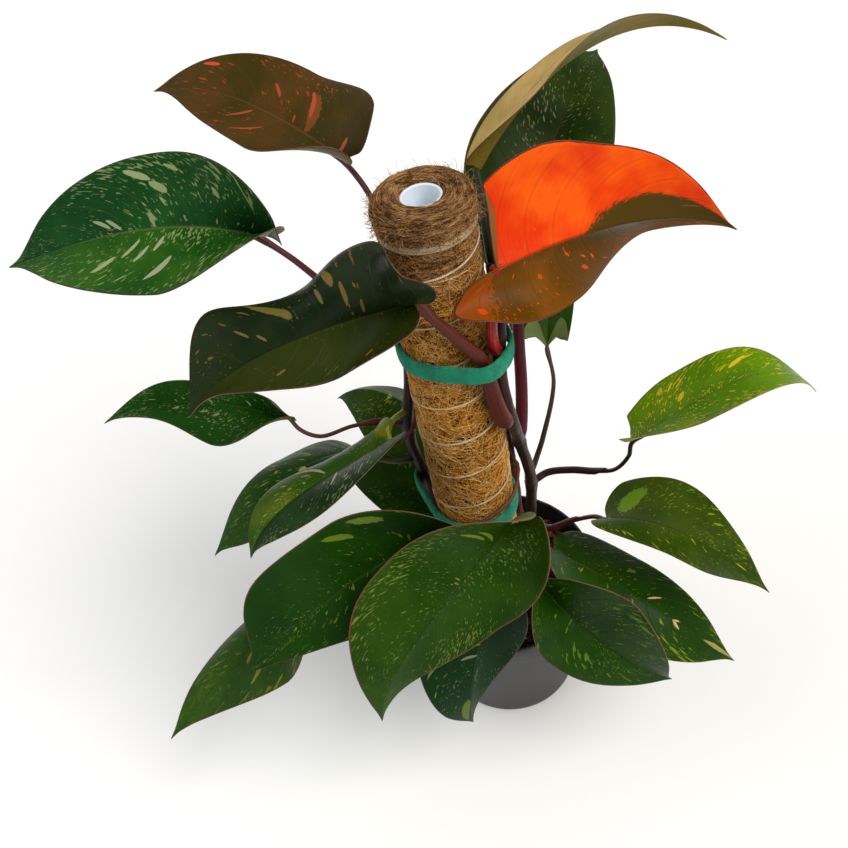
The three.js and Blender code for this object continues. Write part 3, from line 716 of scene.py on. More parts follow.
@dataclass(frozen=True)
class FeltFinish(Finish):
    """Green felt of the ties, matted from fine hairs."""

    name: str = "green_felt"
    base: str = "10805f"
    worn: str = "34a888"
    deep: str = "08664c"

    def felt(self) -> bpy.types.Material:
        """Make the material.

        Returns:
            The material.
        """
        made, graph, surface = self.begin()
        place = graph.place()
        mottle = graph.effect(Effect.MOTTLE, Scale=110.0)
        warp = graph.node("ShaderNodeTexNoise", {"Vector": place, "Scale": 300.0})
        bent = graph.node(
            "ShaderNodeVectorMath",
            {0: place, 1: graph.node(
                "ShaderNodeVectorMath", {0: warp.outputs["Color"], "Scale": 0.004},
                operation="SCALE",
            ).outputs[0]}, operation="ADD",
        ).outputs[0]
        hairs = graph.noise(bent, 1500.0, 5.0, 0.8)
        colour = graph.mix(mottle.outputs["Broad"], tint(self.base), tint(self.deep))
        colour = graph.mix(graph.step(hairs, 0.5, 0.7), colour, tint(self.worn))
        dust = graph.effect(Effect.DUST, Amount=0.2, Scale=200.0)
        colour = graph.mix(dust.outputs[0], colour, tint("8fb8a0"))
        surface.inputs["Sheen Weight"].default_value = 0.5
        surface.inputs["Sheen Roughness"].default_value = 0.5
        surface.inputs["Sheen Tint"].default_value = tint("6fcfae")
        self.close(graph, surface, colour, graph.line(hairs, 0.2, 0.8), hairs, 0.001, 0.8, 0.15)
        return made


@dataclass(frozen=True)
class PlasticFinish(Finish):
    """Moulded plastic of the pot or the pipe."""

    name: str
    base: str
    scuff: str
    gloss: float = 0.45
    dust: float = 0.3

    def shell(self) -> bpy.types.Material:
        """Make the material.

        Returns:
            The material.
        """
        made, graph, surface = self.begin()
        mottle = graph.effect(Effect.MOTTLE, Scale=24.0)
        place = graph.place()
        colour = graph.mix(
            graph.times(mottle.outputs["Broad"], 0.25), tint(self.base), tint(self.scuff)
        )
        scratch = graph.node(
            "ShaderNodeMapping", {"Vector": place, "Scale": (1.0, 1.0, 14.0)}
        ).outputs[0]
        rubbed = graph.step(graph.noise(scratch, 60.0, 6.0, 0.75), 0.62, 0.7)
        colour = graph.mix(graph.times(rubbed, 0.5), colour, tint(self.scuff))
        dust = graph.effect(Effect.DUST, Amount=self.dust, Scale=90.0)
        colour = graph.mix(dust.outputs[0], colour, tint("8a7f70"))
        rough = graph.line(rubbed, 0.2, self.gloss)
        skin = graph.effect(Effect.SKIN, Grain=500.0, Pits=2200.0)
        self.close(graph, surface, colour, rough, skin.outputs[0], 0.0003, 0.35)
        return made


@dataclass(frozen=True)
class SoilFinish(Finish):
    """Potting mix, or the bark and grit in it."""

    name: str
    base: str
    tone: str
    scale: float = 300.0

    def crumb(self) -> bpy.types.Material:
        """Make the material.

        Returns:
            The material.
        """
        made, graph, surface = self.begin()
        mottle = graph.effect(Effect.MOTTLE, Scale=self.scale)
        colour = graph.mix(mottle.outputs["Broad"], tint(self.base), tint(self.tone))
        speck = graph.times(mottle.outputs["Speckle"], 0.6)
        colour = graph.mix(speck, colour, tint("17100b"))
        rough = graph.line(mottle.outputs["Broad"], 0.15, 0.8)
        skin = graph.effect(Effect.SKIN, Grain=900.0, Pits=1400.0)
        self.close(graph, surface, colour, rough, skin.outputs[0], 0.0012, 0.8, 0.2)
        return made


@dataclass(frozen=True)
class ThreadFinish(Finish):
    """Pale twisted binding thread."""

    name: str = "binding_twine"
    base: str = "ded2b8"
    worn: str = "b09c76"

    def strand(self) -> bpy.types.Material:
        """Make the material.

        Returns:
            The material.
        """
        made, graph, surface = self.begin()
        uv = graph.node("ShaderNodeUVMap", uv_map="Bar").outputs[0]
        split = graph.node("ShaderNodeSeparateXYZ", {0: uv})
        ply = graph.math(
            "SINE",
            graph.line(
                split.outputs[0], 9000.0,
                graph.times(split.outputs[1], 4 * math.pi),
            ),
        )
        mottle = graph.effect(Effect.MOTTLE, Scale=80.0)
        colour = graph.mix(mottle.outputs["Broad"], tint(self.base), tint(self.worn))
        colour = graph.mix(graph.step(ply, 0.5, -1.0), colour, tint(self.worn))
        rough = graph.line(mottle.outputs["Broad"], 0.2, 0.4)
        self.close(graph, surface, colour, rough, ply, 0.0002, 0.6)
        return made


# Shapes


class Spline:
    """A smooth path through way points, read by share of its length."""

    def __init__(self, points: Sequence[Sequence[float]]) -> None:
        """Trace the path.

        Args:
            points: way points in millimetres.
        """
        ways = [np.array(p, float) for p in points]
        ways = [2 * ways[0] - ways[1], *ways, 2 * ways[-1] - ways[-2]]
        traced = []
        for a, b, c, d in zip(ways, ways[1:], ways[2:], ways[3:]):
            gaps = [max(np.linalg.norm(q - p) ** 0.5, 1e-4) for p, q in ((a, b), (b, c), (c, d))]
            first = ((b - a) / gaps[0] - (c - a) / (gaps[0] + gaps[1]) + (c - b) / gaps[1]) * gaps[1]
            last = ((c - b) / gaps[1] - (d - b) / (gaps[1] + gaps[2]) + (d - c) / gaps[2]) * gaps[1]
            for t in np.arange(0, 1, 0.05):
                traced.append(
                    b + first * t + (-3 * b + 3 * c - 2 * first - last) * t * t
                    + (2 * b - 2 * c + first + last) * t ** 3
                )
        traced.append(ways[-2])
        self.points = np.array(traced)
        steps = np.linalg.norm(np.diff(self.points, axis=0), axis=1)
        self.reach = np.concatenate([[0.0], np.cumsum(steps)])
        self.length = float(self.reach[-1])

    def at(self, share: float) -> Vector:
        """Return the point at a share of the length."""
        where = share * self.length
        return Vector([float(np.interp(where, self.reach, self.points[:, k])) for k in range(3)])

    def ahead(self, share: float) -> Vector:
        """Return the direction at a share of the length."""
        low, high = max(share - 0.008, 0.0), min(share + 0.008, 1.0)
        return (self.at(high) - self.at(low)).normalized()


class Workshop:
    """Turns bmeshes into finished pieces on the model's one body."""

    def __init__(self) -> None:
        """Start with no pieces."""
        self.made: list[bpy.types.Object] = []

    def finish(
        self, name: str, shape: bmesh.types.BMesh | bpy.types.Mesh,
        materials: Sequence[bpy.types.Material], slot: str, nodes: Sequence[str] = (),
        smooth: bool = True,
    ) -> bpy.types.Object:
        """Make one piece from its shape.

        Args:
            name: the piece's name.
            shape: its bmesh, in metres, or a finished mesh.
            materials: its materials by index.
            slot: not used.
            nodes: solids that it stands for.
            smooth: whether its faces are shaded smooth.

        Returns:
            The new object.
        """
        if isinstance(shape, bmesh.types.BMesh):
            mesh = bpy.data.meshes.new(name)
            shape.to_mesh(mesh)
            shape.free()
        else:
            mesh = shape
            mesh.name = name
        mesh.materials.clear()
        for material in materials:
            mesh.materials.append(material)
        mesh.polygons.foreach_set("use_smooth", [smooth] * len(mesh.polygons))
        piece = bpy.data.objects.new(name, mesh)
        bpy.context.scene.collection.objects.link(piece)
        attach(piece, BODY)
        if nodes:
            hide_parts(*nodes)
        self.made.append(piece)
        log.info("%s: %d faces", name, len(mesh.polygons))
        return piece

    def strands(
        self, name: str, paths: Sequence[np.ndarray], radii: Sequence[float],
        material: bpy.types.Material, slot: str, nodes: Sequence[str] = (), corners: int = 0,
    ) -> bpy.types.Object:
        """Make one piece of many thin strands.

        Args:
            name: the piece's name.
            paths: points of each strand, in millimetres.
            radii: radius of each strand, in millimetres.
            material: their material.
            slot: passed on to finish, where it is not used.
            nodes: solids that it stands for.
            corners: how round the section is.

        Returns:
            The new object.
        """
        curve = bpy.data.curves.new(name + "_paths", "CURVE")
        curve.dimensions = "3D"
        curve.bevel_depth = 1.0
        curve.bevel_resolution = corners
        curve.use_fill_caps = True
        for points, radius in zip(paths, radii):
            spline = curve.splines.new("POLY")
            spline.points.add(len(points) - 1)
            flat = np.ones((len(points), 4))
            flat[:, :3] = points * MM
            spline.points.foreach_set("co", flat.ravel())
            spline.points.foreach_set("radius", np.full(len(points), radius * MM))
        holder = bpy.data.objects.new(name + "_paths", curve)
        bpy.context.scene.collection.objects.link(holder)
        graph = bpy.context.evaluated_depsgraph_get()
        mesh = bpy.data.meshes.new_from_object(holder.evaluated_get(graph))
        bpy.data.objects.remove(holder)
        bpy.data.curves.remove(curve)
        return self.finish(name, mesh, [material], slot, nodes)


SHOP = Workshop()


@dataclass
class Bar:
    """A bar of changing section along a smooth path."""

    path: Sequence[Sequence[float]]
    radius: Callable[[float, float], float]
    sides: int = 14
    rings: int = 48
    up: Point = (0.0, 0.0, 1.0)
    closed: bool = False

    def frames(self) -> list[tuple[Vector, Vector, Vector]]:
        """Carry a section along the path without twisting it.

        Returns:
            Centre, upward and sideways direction of each ring.
        """
        spline = Spline(self.path)
        count = self.rings if self.closed else self.rings + 1
        upward = Vector(self.up)
        frames = []
        for i in range(count):
            share = i / self.rings
            ahead = spline.ahead(share)
            upward = upward - ahead * upward.dot(ahead)
            if upward.length < 1e-3:
                upward = ahead.orthogonal()
            upward.normalize()
            frames.append((spline.at(share), upward.copy(), ahead.cross(upward)))
        return frames

    def build(self, bm: bmesh.types.BMesh, material: int = 0) -> None:
        """Add the bar to a bmesh.

        Args:
            bm: the bmesh, in metres.
            material: index of its material.
        """
        spoke = bm.verts.layers.int.get("spoke") or bm.verts.layers.int.new("spoke")
        ring = bm.verts.layers.int.get("ring") or bm.verts.layers.int.new("ring")
        uv = bm.loops.layers.uv.get("Bar") or bm.loops.layers.uv.new("Bar")
        before = set(bm.faces)
        frames = self.frames()

        def settle(verts: Sequence[bmesh.types.BMVert], index: int) -> None:
            """Put one ring of corners in its place."""
            centre, upward, sideways = frames[index]
            for vert in verts:
                angle = 2 * math.pi * vert[spoke] / self.sides
                r = self.radius(index / self.rings, angle)
                vert.co = (
                    centre + upward * (r * math.cos(angle)) + sideways * (r * math.sin(angle))
                ) * MM
                vert[ring] = index

        first = bmesh.ops.create_circle(bm, segments=self.sides, radius=1.0, cap_ends=False)["verts"]
        for number, vert in enumerate(first):
            vert[spoke] = number
        settle(first, 0)
        start = [e for e in first[0].link_edges[:] + [e for v in first for e in v.link_edges]]
        start = list(dict.fromkeys(start))
        edges = start
        for index in range(1, len(frames)):
            grown = bmesh.ops.extrude_edge_only(bm, edges=edges)["geom"]
            settle([g for g in grown if isinstance(g, bmesh.types.BMVert)], index)
            edges = [g for g in grown if isinstance(g, bmesh.types.BMEdge)]
            edges = [e for e in edges if e.verts[0][ring] == index and e.verts[1][ring] == index]
        if self.closed:
            bmesh.ops.bridge_loops(bm, edges=start + edges)
        else:
            bmesh.ops.contextual_create(bm, geom=start)
            bmesh.ops.contextual_create(bm, geom=edges)
        faces = [f for f in bm.faces if f not in before]
        for face in faces:
            face.material_index = material
            spokes = [loop.vert[spoke] for loop in face.loops]
            wraps = max(spokes) - min(spokes) > self.sides / 2
            for loop, number in zip(face.loops, spokes):
                turn = number + self.sides if wraps and number < self.sides / 2 else number
                loop[uv].uv = (loop.vert[ring] / self.rings, turn / self.sides)
        bmesh.ops.recalc_face_normals(bm, faces=faces)


@dataclass(frozen=True)
class StemPlan:
    """Route and size of one stem."""

    node: str
    path: tuple[Point, ...]
    radius: float
    taper: float
    joints: tuple[float, ...]
    finish: StalkFinish


@dataclass
class Stem:
    """A climbing stem with its swollen nodes and ring scars."""

    plan: StemPlan

    def radius_at(self, share: float, angle: float) -> float:
        """Return the radius at a share of the length and an angle."""
        plan = self.plan
        r = plan.radius * (1 + (plan.taper - 1) * share)
        length = Spline(plan.path).length if not hasattr(self, "length") else self.length
        self.length = length
        for joint in plan.joints:
            off = (share - joint) * length
            r += 0.9 * math.exp(-(off / (0.022 * length)) ** 2)
            r += 0.35 * math.exp(-(off / 0.8) ** 2) - 0.25 * math.exp(-((off - 2.4) / 1.0) ** 2)
        r *= 1 + 0.035 * math.sin(3 * angle + share * 23) + 0.02 * math.sin(5 * angle - share * 61)
        rough = noise.noise(Vector((share * length * 0.16, math.cos(angle) * 2, math.sin(angle) * 2)))
        return r + 0.18 * rough

    def build(self) -> bpy.types.Object:
        """Make the stem.

        Returns:
            The new object.
        """
        bm = bmesh.new()
        Bar(self.plan.path, self.radius_at, sides=20, rings=260).build(bm)
        return SHOP.finish(
            self.plan.node + "_skin", bm, [self.plan.finish.skin()], "stem", [self.plan.node]
        )


# Half outline of a blade: along the midrib and across it, as shares. Negative shares along
# the midrib are the basal lobe; the narrow end is the drip tip.
OUTLINE = (
    (0, 0), (-0.045, 0.12), (-0.1, 0.32), (-0.1, 0.56), (-0.035, 0.8), (0.09, 0.95), (0.26, 1),
    (0.44, 0.92), (0.61, 0.72), (0.76, 0.46), (0.87, 0.21), (0.94, 0.065), (1, 0),
)


def outline_at(s: float) -> tuple[float, float]:
    """Return the margin's place along and across at a share of the outline."""
    last = len(OUTLINE) - 1
    i = min(int(s * last), last - 1)
    t = s * last - i

    def at(k: int, c: int) -> float:
        """Return one coordinate of a control point, carried on past both ends."""
        if k < 0:
            return 2 * OUTLINE[0][c] - OUTLINE[1][c]
        if k > last:
            return 2 * OUTLINE[last][c] - OUTLINE[last - 1][c]
        return OUTLINE[k][c]

    found = []
    for c in (0, 1):
        a, b, d, e = at(i - 1, c), at(i, c), at(i + 1, c), at(i + 2, c)
        found.append(0.5 * (
            2 * b + (d - a) * t + (2 * a - 5 * b + 4 * d - e) * t * t
            + (3 * b - a - 3 * d + e) * t ** 3
        ))
    return found[0], found[1]


@dataclass(frozen=True)
class LeafPlan:
    """Shape of one leaf, in millimetres and degrees.

    Attributes:
        node: the solid that it stands for.
        path: way points of the stalk from its stem.
        r: radius of the stalk at the stem and at the blade.
        joint: where the blade starts.
        tip: its tip.
        width: across both halves.
        arch: bow of the midrib upwards, in chord lengths.
        side: its bow sideways.
        peak: moves the bow to the tip.
        roll: turn about the midrib at the base.
        twist: how much more turn at the tip.
        fold: slope of the left half at rib and margin, then of the right half.
        asym: how much wider the right half is.
        lobe: length of the left and the right basal lobe.
        pinch: extra upward fold of the left and right lobe.
        finish: colours of the blade.
        stalk: skin of the stalk.
        swell: share by which each half is wider a quarter, half and three quarters along.
        push: half, place, and how far along, outward and up a margin is drawn aside.
        flipped: whether the leaf hangs with its underside up.
        wave: depth of the margin's waves.
        waves: how many there are.
    """

    node: str
    path: tuple[Point, ...]
    r: tuple[float, float]
    joint: Point
    tip: Point
    width: float
    arch: float
    side: float
    peak: float
    roll: float
    twist: float
    fold: tuple[float, float, float, float]
    asym: float
    lobe: tuple[float, float]
    pinch: tuple[float, float]
    finish: LeafFinish
    stalk: StalkFinish
    swell: tuple[Point, Point] = ((0, 0, 0), (0, 0, 0))
    push: tuple[tuple[float, ...], ...] = ()
    flipped: bool = False
    wave: float = 1.1
    waves: float = 3.0


class BladeSurface:
    """The curved surface of one blade."""

    def __init__(self, plan: LeafPlan) -> None:
        """Work out the midrib and the directions about it.

        Args:
            plan: the leaf's shape.
        """
        self.plan = plan
        joint, tip = Vector(plan.joint), Vector(plan.tip)
        chord = tip - joint
        size = chord.length
        ahead = chord.normalized()
        across = ahead.cross(Vector((0, 0, 1))).normalized()
        self.above = across.cross(ahead)

        def control(along: float, bow: float) -> Vector:
            """Return a control point of the midrib's curve."""
            return (
                joint + chord * along + self.above * (size * plan.arch * 1.33 * bow)
                + across * (size * plan.side * 1.33)
            )

        self.controls = (
            joint, control(0.33, 1 - plan.peak), control(0.7 + 0.1 * plan.peak, 1 + plan.peak), tip
        )
        shares = np.linspace(0, 1, 201)
        traced = np.array([self.bezier(u) for u in shares])
        steps = np.linalg.norm(np.diff(traced, axis=0), axis=1)
        reach = np.concatenate([[0.0], np.cumsum(steps)])
        self.length = float(reach[-1])
        self.even = np.interp(np.linspace(0, self.length, 401), reach, shares)

    def bezier(self, u: float) -> Vector:
        """Return a point of the midrib's curve."""
        a, b, c, d = self.controls
        w = 1 - u
        return a * w ** 3 + b * (3 * w * w * u) + c * (3 * w * u * u) + d * u ** 3

    def slope(self, u: float) -> Vector:
        """Return the direction of the midrib's curve."""
        a, b, c, d = self.controls
        w = 1 - u
        return ((b - a) * (w * w) + (c - b) * (2 * w * u) + (d - c) * (u * u)).normalized()

    def frame(self, x: float) -> tuple[Vector, Vector, Vector, Vector]:
        """Return origin, rightward, upward and onward direction at a place along the midrib.

        Args:
            x: share of the midrib; below 0 lies behind the joint.

        Returns:
            The four vectors, the origin in millimetres.
        """
        share = min(max(x, 0.0), 1.0)
        u = float(np.interp(share * 400, np.arange(401), self.even))
        ahead = self.slope(u)
        side = ahead.cross(self.above).normalized()
        upward = side.cross(ahead)
        turn = math.radians(self.plan.roll + self.plan.twist * share)
        right = side * math.cos(turn) + upward * math.sin(turn)
        normal = upward * math.cos(turn) - side * math.sin(turn)
        behind = min(x, 0.0)
        origin = self.bezier(u) + ahead * (behind * self.length)
        origin -= normal * (behind * behind * self.length)
        return origin, right, normal, ahead

    def beneath(self, x: float, radius: float) -> Vector:
        """Return where a round midrib nestles between both halves, on the leaf's underside.

        Args:
            x: share of the midrib.
            radius: the midrib's radius.

        Returns:
            The midrib's centre in millimetres.
        """
        plan = self.plan
        fade = min(max(1 - x / 0.35, 0.0), 1.0) ** 1.5
        left = math.radians(plan.fold[0] + plan.pinch[0] * fade)
        right_slope = math.radians(plan.fold[2] + plan.pinch[1] * fade)
        origin, right, normal, _ = self.frame(x)
        lean = (right_slope - left) / 2
        way = right * math.sin(lean) - normal * math.cos(lean)
        opening = (left + right_slope) / 2
        if plan.flipped:
            way, opening = -way, -opening
        return origin + way * (radius / max(math.cos(min(opening, 0.0)), 0.4))

    def point(self, s: float, signed: float) -> Vector:
        """Return a point of the blade.

        Args:
            s: 0 at the joint, 1 at the tip, along the margin.
            signed: -1 at the left margin, 0 on the midrib, 1 at the right margin.

        Returns:
            The point in millimetres.
        """
        plan = self.plan
        side = -1 if signed < 0 else 1
        t = abs(signed)
        start = min(max((s - 0.3) / 0.7, 0.0), 1.0) ** 1.15
        along, reach = outline_at(s)
        edge = along * plan.lobe[0 if side < 0 else 1] if along < 0 else along
        x = start + (edge - start) * t
        swell = 0.0
        for k, share in enumerate(plan.swell[0 if side < 0 else 1], 1):
            off = min(max((s - SWELL_STEP * k) / SWELL_STEP, -1.0), 1.0)
            swell += share * math.cos(off * math.pi / 2) ** 2
        d = reach * t * (1 + swell)
        near, far = plan.fold[:2] if side < 0 else plan.fold[2:]
        pinch = plan.pinch[0 if side < 0 else 1]
        pinch *= min(max(1 - max(x, -0.2) / 0.35, 0.0), 1.5) ** 1.5
        a0 = math.radians(near + pinch)
        bend = math.radians(far - near) or 1e-4
        half = plan.width / 2 * (1 + plan.asym * side)
        out = (math.sin(a0 + bend * d) - math.sin(a0)) / bend * half
        lift = -(math.cos(a0 + bend * d) - math.cos(a0)) / bend * half
        phase = plan.finish.seed + (0.9 if side < 0 else 0.0)
        lift += plan.wave * t * t * math.sin(2 * math.pi * plan.waves * s + phase) * min(
            1.0, reach * 1.4
        )
        vein = s - VEIN_BEND * t * t
        lift -= 0.12 * math.cos(2 * math.pi * 13 * vein) * math.sin(math.pi * t) * min(1.0, reach)
        groove = 0.5 * math.exp(-(d * half / 1.6) ** 2) * smoothstep(s, 0.3, 0.42) * (1 - s)
        lift += groove if plan.flipped else -groove
        origin, right, normal, ahead = self.frame(x)
        for half0, place, onward, outward, up in plan.push:
            if half0 == side:
                share = math.exp(-((s - place) / PUSH_REACH) ** 2) * t ** 1.5
                origin += share * (ahead * onward + right * (side * outward) + normal * up)
        return origin + right * (side * out) + normal * lift


@dataclass
class Leaf:
    """One leaf: a thin blade, and its stalk that goes on as the midrib below."""

    plan: LeafPlan
    rows: int = 104
    columns: int = 40
    thick: float = 0.55

    def build(self) -> None:
        """Make the blade and the stalk."""
        surface = BladeSurface(self.plan)
        self.blade(surface)
        self.stalk(surface)

    def blade(self, surface: BladeSurface) -> bpy.types.Object:
        """Lay a grid on the blade's surface and give it its thickness.

        Args:
            surface: the blade's surface.

        Returns:
            The new object.
        """
        bm = bmesh.new()
        uv = bm.loops.layers.uv.new("Blade")
        bmesh.ops.create_grid(
            bm, x_segments=self.rows, y_segments=self.columns, size=0.5, calc_uvs=False
        )
        for face in bm.faces:
            for loop in face.loops:
                x, y, _ = loop.vert.co
                loop[uv].uv = (x + 0.5, 0.5 - y)
        for vert in bm.verts:
            x, y, _ = vert.co
            vert.co = surface.point(x + 0.5, -2 * y) * MM
        bmesh.ops.remove_doubles(bm, verts=bm.verts, dist=0.00002)
        finish = self.plan.finish
        skins = [finish.above(), finish.below(), finish.edge()]
        if self.plan.flipped:
            skins[:2] = reversed(skins[:2])
        piece = SHOP.finish(self.plan.node + "_blade", bm, skins, "leaf_green", [self.plan.node])
        wall = piece.modifiers.new("thickness", "SOLIDIFY")
        wall.thickness = self.thick * MM
        wall.offset = -1.0
        wall.material_offset = 1
        wall.material_offset_rim = 2
        return piece

    def stalk(self, surface: BladeSurface) -> bpy.types.Object:
        """Make the stalk, its sheath and the midrib that stands out below the blade.

        Args:
            surface: the blade's surface.

        Returns:
            The new object.
        """
        plan = self.plan
        thin, thick = plan.r[1], plan.r[0]
        route = Spline([*plan.path, plan.joint])
        bare = route.length
        under = []
        for x in (0.0, 0.06, 0.2, 0.4, 0.6, 0.8, 0.93):
            under.append(tuple(surface.beneath(x, 0.85 * thin * (1 - x) ** 0.7 + 0.33)))
        path = [*plan.path, *under]
        whole = Spline(path).length
        turn = bare / whole
        hood = plan.stalk.sheath * turn

        def radius(share: float, angle: float) -> float:
            """Return the radius of stalk and midrib at a share of the length and an angle."""
            if share <= turn:
                along = share / turn
                r = thick + (thin - thick) * min(1.0, along * 1.15)
                r += 0.5 * math.exp(-((along - 0.96) / 0.05) ** 2)
                if hood:
                    edge = hood * (1 + 0.1 * math.cos(angle))
                    cover = 1 - smoothstep(share, edge - 0.006, edge + 0.004)
                    r = thin + (max(thick, thin * 1.45) - thin) * cover * (1 - 0.2 * along)
            else:
                along = (share - turn) / (1 - turn)
                r = thin * (1 - along) ** 0.7 * 0.85 + 0.18
            channel = math.exp(-((math.pi - abs(math.pi - angle)) / 0.5) ** 2)
            r *= 0.7 + 0.3 * smoothstep(share, 0.0, 0.03)
            return r * (1 - 0.16 * channel * smoothstep(share, 0.02, 0.1))

        bm = bmesh.new()
        rings = max(60, int(whole / 1.6))
        _, _, normal, _ = surface.frame(0.0)
        Bar(path, radius, sides=14, rings=rings, up=tuple(normal)).build(bm)
        return SHOP.finish(plan.node + "_stalk", bm, [plan.stalk.skin()], "stem", [plan.node])


@dataclass
class AerialRoot:
    """A brown root that crosses the pole and goes down into the soil."""

    node: str
    path: tuple[Point, ...]
    seed: float = 0.0

    def radius_at(self, share: float, angle: float) -> float:
        """Return the radius at a share of the length and an angle."""
        knot = noise.noise(Vector((share * 46, math.cos(angle) * 1.3 + self.seed, math.sin(angle))))
        return 1.2 * (1 - 0.1 * share) + 0.26 * knot + 0.08 * math.sin(share * 240)

    def build(self) -> bpy.types.Object:
        """Make the root.

        Returns:
            The new object.
        """
        bm = bmesh.new()
        Bar(self.path, self.radius_at, sides=10, rings=220).build(bm)
        skin = StalkFinish(
            self.node + "_bark", "5a3a22", "44301f", "8a6238", gloss=0.6, seed=self.seed
        ).skin()
        return SHOP.finish(self.node + "_bark", bm, [skin], "root", [self.node])


@dataclass
class Sheath:
    """A curled leaf sheath: open on one side and drawn to a point."""

    name: str
    path: tuple[Point, ...]
    width: float
    curl: float
    facing: Point
    finish: StalkFinish
    nodes: tuple[str, ...] = ()
    slot: str = "bract"

    def build(self) -> bpy.types.Object:
        """Make the sheath.

        Returns:
            The new object.
        """
        spline = Spline(self.path)
        facing = Vector(self.facing)
        bm = bmesh.new()
        uv = bm.loops.layers.uv.new("Bar")
        bmesh.ops.create_grid(bm, x_segments=48, y_segments=16, size=0.5)
        for face in bm.faces:
            for loop in face.loops:
                loop[uv].uv = (loop.vert.co.x + 0.5, loop.vert.co.y + 0.5)
        for vert in bm.verts:
            share, turn = vert.co.x + 0.5, vert.co.y * 2
            ahead = spline.ahead(share)
            upward = (facing - ahead * facing.dot(ahead)).normalized()
            sideways = ahead.cross(upward)
            wide = self.width * math.sin(math.pi * min(1.0, 0.16 + 0.84 * share)) ** 0.7 + 0.05
            angle = math.radians(self.curl) / 2 * turn
            r = wide / (math.radians(self.curl) / 2)
            centre = spline.at(share) + upward * r
            flare = 1 + 0.12 * turn * turn + 0.05 * math.sin(share * 14 + turn * 2)
            vert.co = (
                centre - upward * (r * math.cos(angle)) * flare + sideways * (r * math.sin(angle))
            ) * MM
        bmesh.ops.remove_doubles(bm, verts=bm.verts, dist=0.00001)
        piece = SHOP.finish(self.name, bm, [self.finish.skin()], self.slot, self.nodes)
        wall = piece.modifiers.new("thickness", "SOLIDIFY")
        wall.thickness = 0.6 * MM
        wall.offset = 0.0
        return piece


